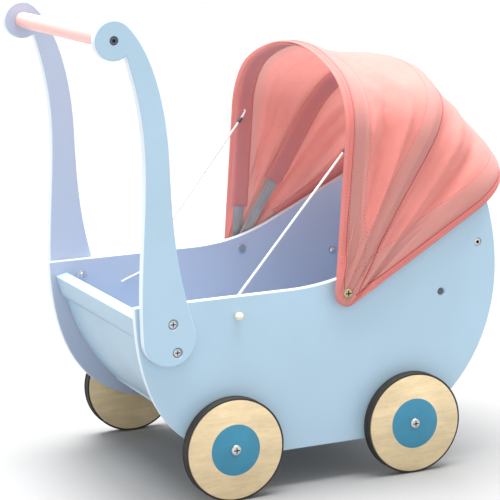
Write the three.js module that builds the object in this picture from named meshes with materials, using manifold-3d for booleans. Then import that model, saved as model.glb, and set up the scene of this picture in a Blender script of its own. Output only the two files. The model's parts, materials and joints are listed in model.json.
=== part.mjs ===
// Wooden doll pram: a low cradle on four disc wheels, with a curved push handle at the
// foot end and a folding fabric hood at the head end. Millimetres, +Z up, +X towards
// the head end, -Y is the pram's right side. The pram is drawn about the point midway
// between the axles, from the underside of the side panels up, and set on its wheels at
// the end.

import * as THREE from 'three';
import { mergeVertices } from 'three/addons/utils/BufferGeometryUtils.js';
import { ParametricGeometry } from 'three/addons/geometries/ParametricGeometry.js';
import Module from 'manifold-3d';

const wasm = await Module();
wasm.setup();

// ---------------------------------------------------------------- driving sizes
// Heights are above the underside of the side panels unless they say otherwise.

const jointGap = 0.3;          // between pieces that touch
const pinClearance = 0.3;      // radial, between a shank and its hole

const bodyWidth = 286.5;       // over the outsides of the two side panels
const panelThickness = 9;
const panelTop = 179;          // low stretch of the panels' top edge
const headRise = 87;           // from there up to the highest corner, at the head end
const footOverhang = 103;      // panel beyond the foot axle
const headOverhang = 115;      // panel beyond the head axle

const wheelbase = 218;
const wheelRadius = 55;        // wooden disc
const wheelThickness = 14;
const tyreThickness = 2.2;
const tyreInset = 1;           // the tyre stops short of each face of the disc
const tyreRib = 2;             // width of the raised rib at each edge of the tyre
const treadDepth = 0.7;
const wheelStandOff = 5.6;     // from side panel to wheel
const spacerRadius = 8;
const axleUp = 15.2;           // axle above the underside of the panels
const axleBoltRadius = 2.5;
const axleHeadRadius = 5.8;
const axleHeadHeight = 2.6;
const axleNutHeight = 4.6;

const handleThickness = 12;
const handleHeight = 462;      // centre of the bar
const barBehindAxle = 120;     // from the foot axle back to the bar
const headRadius = 21;         // round head that holds the bar
const barRadius = 9;
const barHoleDepth = 32;       // for the bolt in each end of the bar
const handleFootBehindAxle = 68.6;
const handleFootDrop = 35;     // centre of the round foot below the panels' top edge
const handleFootRadius = 30;
const waistHeight = 333;       // where the handle is narrowest
const waistBehindAxle = 63.2;  // its front edge there
const waistWidth = 27;
const handleBoltSpacing = 31;
const handleBoltAhead = 6;     // the pair of bolts ahead of the round foot's centre
const handleBoltLean = 4;      // the upper bolt is this much further back than the lower

const railThickness = 14;
const railHeight = 30;
const footRailInset = 16.9;    // middle of the rail from the foot end of the panels
const footRailDrop = 29.6;     // and below their top edge
const footRailTilt = -13.5;    // degrees, top leaning towards the foot end
const headRailInset = 22.6;
const headRailDrop = 57;       // below the panels' highest corner
const headRailTilt = 6;
const floorOverhang = 26.6;    // floor board beyond each axle
const floorThickness = 9;
const floorUp = 38;            // top face of the floor board
const linerThickness = 4;
const linerButt = 0.75;        // liner's outer face beyond the floor's end, in thicknesses
const linerDrop = 0.875;       // and below the floor's top face
const footLinerRadius = 222;
const headLinerRadius = 185;

const pivotBehindAxle = 76.5;  // hood pivot, from the head axle
const pivotDrop = 8.5;         // below the panels' top edge
const bowWidth = 13;
const bowThickness = 1.5;
const bowCornerRadius = 70;
const bowCornerTurn = 65;      // degrees of turn in the tight corner
const frontBowAngle = 85;      // degrees above the +X direction
const midBowAngle = 58;
const rearBowAngle = 30;
const frontBowLeg = 172.2;     // pivot to where the leg starts to bend
const midBowLeg = 185;
const rearBowLeg = 180.6;
const washerThickness = 1.4;
const washerRadius = 9.8;
const clothThickness = 1.5;
const clothClearance = 1.3;    // from the bows to the cloth
const hemReach = 15;           // cloth beyond the outer bows, and around the pivot
const clothDip = 4;            // how far the crown of the cloth dips between two bows
const pivotScrewRadius = 2;
const pivotHeadRadius = 5.6;
const pivotHeadHeight = 2.5;
const sleeveRadius = 3.4;      // pivot's sleeve nut
const sleeveFlange = 1.2;

const boltRadius = 2.5;
const panHeadRadius = 4.8;
const panHeadHeight = 2.8;
const panRecessRadius = 6;
const panRecessDepth = 4;
const flushHeadRadius = 4.6;   // socket-head connector bolts
const flushRecess = 2.4;
const flushShank = 31;         // how far a connector bolt's shank enters its rail or bar
const flangeNutRadius = 6.2;
const flangeNutHeight = 3.2;
const studBehindEnd = 69.6;    // cap-nutted stud, from the head end of the panels
const studDrop = 22;           // below the panels' top edge
const capNutRadius = 4.2;
const cordRadius = 1.25;
const cordHoleClearance = 0.6;
const eyeletHeight = 168;      // cord hole up each leg of the front bow
const cordHoleX = -94.6;       // cord hole in each panel, ahead of the middle
const cordHoleZ = 158;
const beadRadius = 4.7;

// ---------------------------------------------------------------- derived sizes

const radians = THREE.MathUtils.degToRad;
const halfBody = bodyWidth / 2;
const innerHalf = halfBody - panelThickness;
const innerFace = innerHalf - jointGap;
const footAxle = -wheelbase / 2;
const headAxle = wheelbase / 2;
const axleHeight = wheelRadius + tyreThickness;
const footEnd = footAxle - footOverhang;
const headEnd = headAxle + headOverhang;
const headTop = panelTop + headRise;
const wheelInner = halfBody + wheelStandOff;
const wheelOuter = wheelInner + wheelThickness;
const axleHole = axleBoltRadius + pinClearance;
const barX = footAxle - barBehindAxle;
const handleInner = halfBody + jointGap;
const handleOuter = handleInner + handleThickness;
const barHalf = halfBody;
const handleFootX = footAxle - handleFootBehindAxle;
const handleFootZ = panelTop - handleFootDrop;
const boltHole = boltRadius + pinClearance;
const handleBoltX = handleFootX + handleBoltAhead;
const handleBolts = {
  upper: [handleBoltX - handleBoltLean / 2, handleFootZ + handleBoltSpacing / 2],
  lower: [handleBoltX + handleBoltLean / 2, handleFootZ - handleBoltSpacing / 2],
};
const footRail = {
  x: footEnd + footRailInset, z: panelTop - footRailDrop, tilt: radians(footRailTilt),
};
const headRail = {
  x: headEnd - headRailInset, z: headTop - headRailDrop, tilt: radians(headRailTilt),
};
const floorHalf = wheelbase / 2 + floorOverhang;
const studX = headEnd - studBehindEnd;
const studZ = panelTop - studDrop;
const pivotX = headAxle - pivotBehindAxle;
const pivotZ = panelTop - pivotDrop;
const pivotHole = pivotScrewRadius + pinClearance;
const bowLayer = bowThickness + jointGap;
const midBowHalf = halfBody + jointGap + washerThickness + bowLayer;
const rearBowHalf = midBowHalf + bowLayer;
const frontBowHalf = rearBowHalf + bowLayer;
const clothHalf = frontBowHalf + clothClearance + clothThickness;

// One elastic cord, from its bead outside the panel, through the panel and straight up to
// the front bow's eyelet; its tail lies along the panel. Points are [towards the head, out
// from the middle, up], and each stretch is counted from the place that it belongs to.
function stretchFrom([x, y, z], points) {
  return points.map(([dx, dy, dz]) => [x + dx, y + dy, z + dz]);
}
const eyeletTurn = radians(frontBowAngle);
const eyelet = [pivotX + eyeletHeight * Math.cos(eyeletTurn), frontBowHalf,
  pivotZ + eyeletHeight * Math.sin(eyeletTurn)];
const insideHole = [cordHoleX, innerHalf, cordHoleZ];
const cordStart = [
  ...stretchFrom([cordHoleX, halfBody, cordHoleZ], [[0, 6.25, 0], [0, -1.25, 0]]),
  ...stretchFrom(insideHole, [[0, 1.25, 0], [0.2, -3.25, 1.4], [1.4, -5.25, 5.6],
    [4.4, -3.95, 14], [8, -1.95, 22]]),
];
const cordEnd = stretchFrom(eyelet, [[-11.1, -9.05, -13.2], [-4.5, -7.95, -5.4],
  [-1.1, -5.75, -1.4], [0, -2.95, 0], [0, -0.15, 0]]);
const cordRun = [1, 2, 3, 4, 5].map((step) => cordStart[cordStart.length - 1]
  .map((from, axis) => from + (cordEnd[0][axis] - from) * step / 6));
const cordRoute = [...cordStart, ...cordRun, ...cordEnd];
const cordTail = stretchFrom(insideHole, [[0.1, -1.65, 0.5], [-3.9, -3.15, -0.6],
  [-11.4, -2.75, -3.6], [-21.4, -2.05, -7.4], [-30.4, -2.25, -11]]);

// ---------------------------------------------------------------- materials

function finish(color, roughness, metalness = 0) {
  return new THREE.MeshStandardMaterial({ color, roughness, metalness });
}

const bluePaint = finish(0xa9c5da, 0.45);
const pinkPaint = finish(0xf6bdb6, 0.4);
const birch = finish(0xd8c29a, 0.55);
const rubber = finish(0x26221f, 0.8);
const steel = finish(0xc4c6c8, 0.3, 0.9);
const darkSteel = finish(0x3a4148, 0.4, 0.8);
const brass = finish(0xb9a878, 0.35, 0.9);
const nylon = finish(0xf1f0ea, 0.5);
const bowMetal = finish(0xafaca8, 0.45, 0.6);
const hoodCloth = finish(0xe99a96, 0.9);
const elastic = finish(0xf4f4f2, 0.8);
const beadCream = finish(0xe8e2cf, 0.5);

// ---------------------------------------------------------------- solids

function toSolid(geometry) {
  const bare = geometry.index ? geometry.toNonIndexed() : geometry.clone();
  bare.deleteAttribute('normal');
  bare.deleteAttribute('uv');
  const merged = mergeVertices(bare, 1e-4);
  const index = merged.index.array;
  const kept = [];
  for (let i = 0; i < index.length; i += 3) {
    const [a, b, c] = [index[i], index[i + 1], index[i + 2]];
    if (a !== b && b !== c && c !== a) kept.push(a, b, c);
  }
  return new wasm.Manifold(new wasm.Mesh({
    numProp: 3,
    vertProperties: new Float32Array(merged.attributes.position.array),
    triVerts: new Uint32Array(kept),
  }));
}

function toGeometry(solid) {
  const mesh = solid.getMesh();
  const geometry = new THREE.BufferGeometry();
  geometry.setAttribute('position', new THREE.BufferAttribute(mesh.vertProperties, 3));
  geometry.setIndex(new THREE.BufferAttribute(mesh.triVerts, 1));
  return geometry;
}

// A shape drawn in X and Z, made a board from y0 to y1.
function boardGeometry(shape, y0, y1, curveSegments = 20) {
  const geometry = new THREE.ExtrudeGeometry(shape, {
    depth: y1 - y0, bevelEnabled: false, curveSegments,
  });
  geometry.rotateX(Math.PI / 2);
  geometry.translate(0, y1, 0);
  return geometry;
}

// A round piece turned about Y, from [radius, y] corners listed with y falling outside.
function turned(corners, segments = 14) {
  const points = corners.map(([r, y]) => new THREE.Vector2(r, y));
  return toSolid(new THREE.LatheGeometry(points.reverse(), segments));
}

function rod(radius, y0, y1, x = 0, z = 0, segments = 16) {
  const geometry = new THREE.CylinderGeometry(radius, radius, y1 - y0, segments);
  geometry.translate(x, (y0 + y1) / 2, z);
  return toSolid(geometry);
}

function block(width, depth, height, x, y, z) {
  return toSolid(new THREE.BoxGeometry(width, depth, height).translate(x, y, z));
}

const past = bodyWidth;        // a cut from here runs clear of everything

function drill(solid, radius, x, z) {
  return solid.subtract(rod(radius, -past, past, x, z));
}

const pram = new THREE.Group();

function place(name, solid, material, parent = pram) {
  const mesh = new THREE.Mesh(toGeometry(solid), material);
  mesh.name = name;
  parent.add(mesh);
  return mesh;
}

// Mirrors a geometry in Y, and turns its faces so that they still look outwards.
function reflect(geometry) {
  geometry.scale(1, -1, 1);
  const index = geometry.index.array;
  for (let i = 0; i < index.length; i += 3) {
    [index[i], index[i + 1]] = [index[i + 1], index[i]];
  }
}

// Pieces of one side are drawn with +Y pointing out of the pram. The left side's stand as
// drawn, and the right side's are reflected.
const sides = [{ word: 'right', out: -1 }, { word: 'left', out: 1 }];

function placeSide(name, solid, material, side, x = 0, z = 0) {
  const geometry = toGeometry(solid);
  if (side.out < 0) reflect(geometry);
  const mesh = new THREE.Mesh(geometry, material);
  mesh.name = `${side.word}_${name}`;
  pram.add(mesh);
  mesh.position.set(x, 0, z);
  return mesh;
}

// ---------------------------------------------------------------- side panels

function panelShape() {
  const shape = new THREE.Shape();
  shape.moveTo(footEnd, panelTop);
  shape.bezierCurveTo(footEnd, 49, footEnd + 57.4, 0, footAxle + 49.3, 0);
  shape.lineTo(headAxle - 49, 0);
  shape.bezierCurveTo(headEnd - 68.5, 0, headEnd, panelTop - 94, headEnd, panelTop + 1);
  shape.bezierCurveTo(headEnd, panelTop + 29, headEnd - 3.5, headTop - 33, headEnd - 11.5,
    headTop - 8);
  shape.quadraticCurveTo(headEnd - 14, headTop, headEnd - 22, headTop - 3.5);
  shape.lineTo(headEnd - 148.5, panelTop + 24);
  shape.bezierCurveTo(headEnd - 178.5, panelTop + 10, headEnd - 208.5, panelTop,
    headEnd - 258.5, panelTop);
  shape.closePath();
  return shape;
}

function sidePanel() {
  let panel = toSolid(boardGeometry(panelShape(), innerHalf, halfBody));
  for (const x of [footAxle, headAxle]) panel = drill(panel, axleHole, x, axleUp);
  for (const [x, z] of Object.values(handleBolts)) panel = drill(panel, boltHole, x, z);
  for (const [x, z] of [[headRail.x, headRail.z], [studX, studZ]]) {
    panel = drill(panel, boltHole, x, z)
      .subtract(rod(flushHeadRadius + pinClearance, halfBody - flushRecess, past, x, z));
  }
  panel = drill(panel, sleeveRadius + pinClearance, pivotX, pivotZ);
  return drill(panel, cordRadius + cordHoleClearance, cordHoleX, cordHoleZ);
}

for (const side of sides) placeSide('side_panel', sidePanel(), bluePaint, side);

// ---------------------------------------------------------------- cradle boards

// A rail across the pram, leaning by its tilt, with its lower outer edge rounded.
function rail({ x, z, tilt }, grow = 0) {
  const [w, h] = [railThickness / 2 + grow, railHeight / 2 + grow];
  const outer = Math.sign(tilt) * w;
  const shape = new THREE.Shape();
  shape.moveTo(outer, h);
  shape.lineTo(outer, 0);
  shape.quadraticCurveTo(outer, -h, -outer * 0.2, -h);
  shape.lineTo(-outer, -h);
  shape.lineTo(-outer, h);
  shape.closePath();
  const geometry = boardGeometry(shape, -innerFace - grow, innerFace + grow, 6);
  geometry.rotateY(tilt);
  geometry.translate(x, 0, z);
  return toSolid(geometry);
}

// The middle of a rail's lower face, where its liner tucks under.
function railFoot({ x, z, tilt }) {
  const drop = railHeight / 2 - linerThickness;
  return new THREE.Vector2(x - Math.sin(tilt) * drop, z - Math.cos(tilt) * drop);
}

// A bent board from the rail down to the floor's end, bulging outwards. It butts against the
// end of the floor board with its inner face just below the floor, so nothing leans over it.
function liner(railPlace, radius) {
  const outward = Math.sign(railPlace.x);
  const from = railFoot(railPlace).add(new THREE.Vector2(outward * linerThickness / 2, 0));
  const to = new THREE.Vector2(
    outward * (floorHalf + linerButt * linerThickness), floorUp - linerDrop * linerThickness);
  const chord = to.clone().sub(from);
  const half = chord.length() / 2;
  const inward = new THREE.Vector2(chord.y, -chord.x).normalize().multiplyScalar(outward);
  const centre = from.clone().add(to).multiplyScalar(0.5)
    .addScaledVector(inward, Math.sqrt(radius * radius - half * half));
  const a0 = Math.atan2(from.y - centre.y, from.x - centre.x);
  const a1 = Math.atan2(to.y - centre.y, to.x - centre.x);
  const shape = new THREE.Shape();
  shape.absarc(centre.x, centre.y, radius, a0, a1, outward > 0);
  shape.absarc(centre.x, centre.y, radius - linerThickness, a1, a0, outward < 0);
  shape.closePath();
  return toSolid(boardGeometry(shape, -innerFace, innerFace, 14))
    .subtract(rail(railPlace, jointGap))
    .subtract(floorBoard(jointGap));
}

function floorBoard(grow = 0) {
  return block(2 * (floorHalf + grow), 2 * (innerFace + grow), floorThickness + 2 * grow,
    0, 0, floorUp - floorThickness / 2);
}

const shankEnd = innerFace - flushShank;
const headRailSolid = rail(headRail)
  .subtract(rod(boltHole, shankEnd - 1, past, headRail.x, headRail.z))
  .subtract(rod(boltHole, -past, 1 - shankEnd, headRail.x, headRail.z));

place('foot_rail', rail(footRail), bluePaint);
place('head_rail', headRailSolid, bluePaint);
place('floor_board', floorBoard(), bluePaint);
place('foot_liner', liner(footRail, footLinerRadius), bluePaint);
place('head_liner', liner(headRail, headLinerRadius), bluePaint);

// ---------------------------------------------------------------- handle

function handleShape() {
  const headTurn = radians(45);
  const notchTurn = radians(-52);
  const footTurn = radians(16.5);
  const headFrontX = barX + headRadius * Math.cos(headTurn);
  const headFrontZ = handleHeight + headRadius * Math.sin(headTurn);
  const footFrontX = handleFootX + handleFootRadius * Math.cos(footTurn);
  const footFrontZ = handleFootZ + handleFootRadius * Math.sin(footTurn);
  const waistFront = footAxle - waistBehindAxle;
  const waistRear = waistFront - waistWidth;
  const footRear = handleFootX - handleFootRadius;
  const shape = new THREE.Shape();
  shape.absarc(barX, handleHeight, headRadius, notchTurn, headTurn, true);
  shape.bezierCurveTo(headFrontX + 25, headFrontZ - 25, waistFront - 1.5, waistHeight + 65,
    waistFront, waistHeight);
  shape.bezierCurveTo(waistFront + 1, waistHeight - 95, footFrontX - 14.8, footFrontZ + 49.5,
    footFrontX, footFrontZ);
  shape.absarc(handleFootX, handleFootZ, handleFootRadius, footTurn, Math.PI, true);
  shape.bezierCurveTo(footRear - 2.5, handleFootZ + 64, waistRear, waistHeight - 55,
    waistRear, waistHeight);
  shape.bezierCurveTo(waistRear, waistHeight + 55, barX + 19.4, handleHeight - 42,
    barX + headRadius * Math.cos(notchTurn), handleHeight + headRadius * Math.sin(notchTurn));
  return shape;
}

function handleSide() {
  let arm = toSolid(boardGeometry(handleShape(), handleInner, handleOuter, 14));
  arm = drill(arm, boltHole, barX, handleHeight)
    .subtract(rod(flushHeadRadius + pinClearance, handleOuter - flushRecess, past, barX,
      handleHeight));
  for (const [x, z] of Object.values(handleBolts)) {
    arm = drill(arm, boltHole, x, z)
      .subtract(rod(panRecessRadius, handleOuter - panRecessDepth, past, x, z));
  }
  return arm;
}

for (const side of sides) placeSide('handle_side', handleSide(), bluePaint, side);

const bar = rod(barRadius, -barHalf, barHalf, barX, handleHeight, 36)
  .subtract(rod(boltHole, barHalf - barHoleDepth, past, barX, handleHeight))
  .subtract(rod(boltHole, -past, barHoleDepth - barHalf, barX, handleHeight));
place('handle_bar', bar, pinkPaint);

// ---------------------------------------------------------------- bolts and nuts

// A connector bolt whose flush head fills its recess and has a hexagonal socket.
function flushBolt(face, end) {
  const seat = face - flushRecess + jointGap;
  const top = face - jointGap;
  const socketDepth = 1;
  return turned([[0, top], [flushHeadRadius, top], [flushHeadRadius, seat],
    [boltRadius, seat], [boltRadius, end], [0, end]])
    .subtract(rod(flushHeadRadius * 0.42, top - socketDepth, past, 0, 0, 6));
}

// A bolt with a domed pan head on a seat, with a cross recess.
function panBolt(radius, height, seat, shank, end) {
  const top = seat + height;
  const bolt = turned([[0, top], [radius * 0.62, top - height * 0.09],
    [radius * 0.9, top - height * 0.35], [radius, top - height * 0.56], [radius, seat],
    [shank, seat], [shank, end], [0, end]]);
  const [long, wide, deep] = [radius * 0.95, radius * 0.22, height * 0.45];
  return bolt.subtract(block(long, deep, wide, 0, top - deep / 2 + 0.01, 0))
    .subtract(block(wide, deep, long, 0, top - deep / 2 + 0.01, 0));
}

// A flange against the panel's inside with a boss behind it, bored for the bolt.
function flangedNut(flangeRadius, bossRadius, bossSides, height, bore) {
  const flangeHeight = 1.4;
  return rod(flangeRadius, innerFace - flangeHeight, innerFace)
    .add(rod(bossRadius, innerFace - height, innerFace - flangeHeight / 2, 0, 0, bossSides))
    .subtract(rod(bore, 0, past, 0, 0, 12));
}

// A cap nut: a short collar on the panel's inside, closed by a dome.
function capNut() {
  const collar = innerFace - 2.2;
  const dome = 2.8;
  const corners = [[0, collar], [boltHole, collar], [boltHole, innerFace],
    [capNutRadius, innerFace], [capNutRadius, collar]];
  for (const turn of [30, 60]) {
    corners.push([capNutRadius * Math.cos(radians(turn)),
      collar - dome * Math.sin(radians(turn))]);
  }
  corners.push([0, collar - dome]);
  return turned(corners);
}

function studBolt() {
  const seat = halfBody - flushRecess + jointGap;
  return turned([[0, seat + 1.2], [2.4, seat + 1], [3.6, seat + 0.4], [3.6, seat],
    [boltRadius, seat], [boltRadius, innerFace - 1.8], [0, innerFace - 1.8]]);
}

const panSeat = handleOuter - panRecessDepth + jointGap;

for (const side of sides) {
  placeSide('bar_bolt', flushBolt(handleOuter, barHalf - flushShank + 2), darkSteel, side,
    barX, handleHeight);
  placeSide('head_rail_bolt', flushBolt(halfBody, shankEnd), darkSteel, side,
    headRail.x, headRail.z);
  for (const [level, [x, z]] of Object.entries(handleBolts)) {
    placeSide(`${level}_handle_bolt`, panBolt(panHeadRadius, panHeadHeight, panSeat,
      boltRadius, innerFace - flangeNutHeight + jointGap), steel, side, x, z);
    placeSide(`${level}_handle_nut`, flangedNut(flangeNutRadius, flangeNutRadius * 0.63, 18,
      flangeNutHeight, boltHole), steel, side, x, z);
  }
  placeSide('stud_bolt', studBolt(), darkSteel, side, studX, studZ);
  placeSide('stud_cap_nut', capNut(), steel, side, studX, studZ);
}

// ---------------------------------------------------------------- wheels

function wheelDisc() {
  const soft = 0.8;
  const rim = wheelRadius - soft;
  return turned([[axleHole, wheelOuter], [rim, wheelOuter], [wheelRadius, wheelOuter - soft],
    [wheelRadius, wheelInner + soft], [rim, wheelInner], [axleHole, wheelInner],
    [axleHole, wheelOuter]], 48);
}

function tyre() {
  const [outer, inner] = [wheelOuter - tyreInset, wheelInner + tyreInset];
  const seat = wheelRadius + jointGap;
  const tread = axleHeight - treadDepth;
  return turned([[seat, outer], [axleHeight, outer], [axleHeight, outer - tyreRib],
    [tread, outer - tyreRib - treadDepth], [tread, inner + tyreRib + treadDepth],
    [axleHeight, inner + tyreRib], [axleHeight, inner], [seat, inner], [seat, outer]], 48);
}

for (const side of sides) {
  for (const [end, x] of [['foot', footAxle], ['head', headAxle]]) {
    const axleNut = flangedNut(axleHole + 4.2, axleHole + 2.2, 6, axleNutHeight, axleHole);
    const spacer = rod(spacerRadius, halfBody + jointGap, wheelInner - jointGap)
      .subtract(rod(axleHole, 0, past));
    const bolt = panBolt(axleHeadRadius, axleHeadHeight, wheelOuter + jointGap,
      axleBoltRadius, innerFace - axleNutHeight - 1.2);
    placeSide(`${end}_wheel`, wheelDisc(), birch, side, x, axleUp);
    placeSide(`${end}_tyre`, tyre(), rubber, side, x, axleUp);
    placeSide(`${end}_axle_bolt`, bolt, steel, side, x, axleUp);
    placeSide(`${end}_wheel_spacer`, spacer, nylon, side, x, axleUp);
    placeSide(`${end}_axle_nut`, axleNut, steel, side, x, axleUp);
  }
}

// ---------------------------------------------------------------- hood bows

// Cells along half an arch: straight leg, tight corner, shallow crown.
const legCells = 3;
const cornerCells = 8;
const crownCells = 5;
const halfCells = legCells + cornerCells + crownCells;

// How much higher an arch's crown is than the tops of its straight legs.
function archRise(half, corner) {
  const turn = radians(bowCornerTurn);
  return corner + (half - corner) * (1 / Math.cos(turn) - Math.tan(turn));
}

// Height where an arch's straight legs end.
function legTop(half, height, corner) {
  return height - archRise(half, corner);
}

// A point [y, height] of an arch, by its cell from the right foot to the left foot.
function archPoint(half, height, corner, cell) {
  const turn = radians(bowCornerTurn);
  const reach = half - corner;
  const crown = corner + reach / Math.cos(turn);
  const top = legTop(half, height, corner);
  const k = cell > halfCells ? 2 * halfCells - cell : cell;
  const out = cell > halfCells ? 1 : -1;
  if (k <= legCells) return [out * half, top * k / legCells];
  if (k <= legCells + cornerCells) {
    const a = turn * (k - legCells) / cornerCells;
    return [out * (reach + corner * Math.cos(a)), top + corner * Math.sin(a)];
  }
  const a = turn + (Math.PI / 2 - turn) * (k - legCells - cornerCells) / crownCells;
  return [out * crown * Math.cos(a), height - crown + crown * Math.sin(a)];
}

function archShape(half, height) {
  const points = [];
  for (let cell = 0; cell <= 2 * halfCells; cell += 1) {
    points.push(new THREE.Vector2(...archPoint(half, height, bowCornerRadius, cell)));
  }
  for (let cell = 2 * halfCells; cell >= 0; cell -= 1) {
    points.push(new THREE.Vector2(...archPoint(half - bowThickness, height - bowThickness,
      bowCornerRadius - bowThickness, cell)));
  }
  return new THREE.Shape(points);
}

// A flat strip bent to an arch, with round drilled ends at the pivot.
function bow(half, height, hasEyelets) {
  const geometry = new THREE.ExtrudeGeometry(archShape(half, height), {
    depth: bowWidth, bevelEnabled: false,
  });
  geometry.translate(0, 0, -bowWidth / 2);
  geometry.applyMatrix4(new THREE.Matrix4().makeBasis(
    new THREE.Vector3(0, 1, 0), new THREE.Vector3(0, 0, 1), new THREE.Vector3(1, 0, 0)));
  const strip = drill(toSolid(geometry)
    .add(rod(bowWidth / 2, -half, bowThickness - half))
    .add(rod(bowWidth / 2, half - bowThickness, half)), pivotHole, 0, 0);
  return hasEyelets ? drill(strip, cordRadius + cordHoleClearance, 0, eyeletHeight) : strip;
}

const hood = new THREE.Group();
hood.position.set(pivotX, 0, pivotZ);
pram.add(hood);

const frontBowHeight = frontBowLeg + archRise(frontBowHalf, bowCornerRadius);
const midBowHeight = midBowLeg + archRise(midBowHalf, bowCornerRadius);
const rearBowHeight = rearBowLeg + archRise(rearBowHalf, bowCornerRadius);
const bows = [
  { name: 'front_bow', half: frontBowHalf, height: frontBowHeight, angle: frontBowAngle },
  { name: 'mid_bow', half: midBowHalf, height: midBowHeight, angle: midBowAngle },
  { name: 'rear_bow', half: rearBowHalf, height: rearBowHeight, angle: rearBowAngle },
];
for (const { name, half, height, angle } of bows) {
  const mesh = place(name, bow(half, height, name === 'front_bow'), bowMetal, hood);
  mesh.rotation.y = radians(90 - angle);
}

// ---------------------------------------------------------------- hood cloth

// Stations of the cloth from front hem to rear hem, by cell.
const rise = clothClearance + clothThickness;
const dipBetween = (a, b) => (a + b) / 2 + rise - clothDip;
const stations = [
  { cell: 0, angle: frontBowAngle, ahead: hemReach, crown: frontBowHeight + rise - 0.6 },
  { cell: 1, angle: frontBowAngle, ahead: 0, crown: frontBowHeight + rise },
  { cell: 5, angle: (frontBowAngle + midBowAngle) / 2, ahead: 0,
    crown: dipBetween(frontBowHeight, midBowHeight) },
  { cell: 9, angle: midBowAngle, ahead: 0, crown: midBowHeight + rise },
  { cell: 13, angle: (midBowAngle + rearBowAngle) / 2, ahead: 0,
    crown: dipBetween(midBowHeight, rearBowHeight) },
  { cell: 17, angle: rearBowAngle, ahead: 0, crown: rearBowHeight + rise },
  { cell: 18, angle: rearBowAngle, ahead: -hemReach, crown: rearBowHeight + rise - 0.6 },
];
const hoodCells = stations[stations.length - 1].cell;

function stationAt(cell) {
  const next = Math.max(1, stations.findIndex((station) => station.cell >= cell));
  const [a, b] = [stations[next - 1], stations[next]];
  const t = (cell - a.cell) / (b.cell - a.cell);
  const ease = t * t * (3 - 2 * t);
  return {
    angle: radians(a.angle + (b.angle - a.angle) * t),
    ahead: a.ahead + (b.ahead - a.ahead) * t,
    crown: a.crown + (b.crown - a.crown) * ease,
  };
}

// The legs of the cloth fan out from a round end about the pivot: share runs from there to
// the station's own point at the top of the leg.
function fanPoint(station, top, across, share) {
  const from = radians(frontBowAngle + 90);
  const to = radians(rearBowAngle + 270);
  const turn = from + (to - from) * across;
  const { angle, ahead } = station;
  const topX = top * Math.cos(angle) - ahead * Math.sin(angle);
  const topZ = top * Math.sin(angle) + ahead * Math.cos(angle);
  return [
    THREE.MathUtils.lerp(hemReach * Math.cos(turn), topX, share),
    THREE.MathUtils.lerp(hemReach * Math.sin(turn), topZ, share),
  ];
}

// The sheet's skin closes on itself: u goes over the outside of the arch and back along
// the inside, v from rear hem to front, and the first and last cell each way is the sheet's edge.
function clothPoint(u, v, target) {
  const archCell = (u <= 0.5 ? 2 * u : 2 - 2 * u) * (2 * halfCells + 2) - 1;
  const hoodCell = (1 - v) * (hoodCells + 2) - 1;
  const atEdge = archCell < -0.5 || archCell > 2 * halfCells + 0.5
    || hoodCell < -0.5 || hoodCell > hoodCells + 0.5;
  const skinInset = u <= 0.5 ? 0 : clothThickness;
  const inset = atEdge ? clothThickness / 2 : skinInset;
  const cell = Math.round(THREE.MathUtils.clamp(archCell, 0, 2 * halfCells));
  const across = Math.round(THREE.MathUtils.clamp(hoodCell, 0, hoodCells));
  const station = stationAt(across);
  const { angle, ahead, crown } = station;
  const corner = bowCornerRadius + rise;
  const [y, h] = archPoint(clothHalf - inset, crown - inset, corner - inset, cell);
  const leg = Math.min(cell, 2 * halfCells - cell) / legCells;
  const [x, z] = leg < 1
    ? fanPoint(station, legTop(clothHalf, crown, corner), across / hoodCells, leg)
    : [h * Math.cos(angle) - ahead * Math.sin(angle),
      h * Math.sin(angle) + ahead * Math.cos(angle)];
  target.set(x, y, z);
}

const clothSheet = toSolid(
  new ParametricGeometry(clothPoint, 4 * halfCells + 4, hoodCells + 2));
place('hood_canopy', drill(clothSheet, pivotHole, 0, 0), hoodCloth, hood);

// ---------------------------------------------------------------- hood pivots

function pivotScrew() {
  return panBolt(pivotHeadRadius, pivotHeadHeight, clothHalf + jointGap, pivotScrewRadius,
    innerFace + 1.5);
}

// A flat head on the panel's inside with a sleeve through the panel for the screw.
function sleeveNut() {
  return rod(pivotHeadRadius, innerFace - sleeveFlange, innerFace)
    .add(rod(sleeveRadius, innerFace - sleeveFlange / 2, halfBody))
    .subtract(rod(pivotHole, innerFace + 1, past, 0, 0, 12));
}

function pivotWasher() {
  return rod(washerRadius, halfBody + jointGap, halfBody + jointGap + washerThickness, 0, 0, 28)
    .subtract(rod(pivotHole, 0, past, 0, 0, 12));
}

for (const side of sides) {
  placeSide('pivot_screw', pivotScrew(), brass, side, pivotX, pivotZ);
  placeSide('pivot_washer', pivotWasher(), nylon, side, pivotX, pivotZ);
  placeSide('pivot_sleeve_nut', sleeveNut(), steel, side, pivotX, pivotZ);
}

// ---------------------------------------------------------------- elastic cords

function cordTube(route, steps) {
  const path = new THREE.CatmullRomCurve3(route.map(([x, y, z]) => new THREE.Vector3(x, y, z)));
  const section = new THREE.Shape();
  const faces = 8;
  for (let i = 0; i < faces; i += 1) {
    const a = 2 * Math.PI * i / faces;
    section[i === 0 ? 'moveTo' : 'lineTo'](cordRadius * Math.cos(a), cordRadius * Math.sin(a));
  }
  return toSolid(new THREE.ExtrudeGeometry(section, { steps, extrudePath: path }));
}

function bead() {
  const seat = halfBody + jointGap;
  const flat = radians(60);
  const middle = seat + beadRadius * Math.sin(flat);
  const corners = [[0, middle + beadRadius]];
  for (const a of [60, 35, 10, -15, -40, -60]) {
    corners.push([beadRadius * Math.cos(radians(a)), middle + beadRadius * Math.sin(radians(a))]);
  }
  corners.push([0, seat]);
  const bore = cordRadius + jointGap;
  return turned(corners).subtract(rod(bore, 0, cordRoute[0][1] + jointGap, 0, 0, 12));
}

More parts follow.
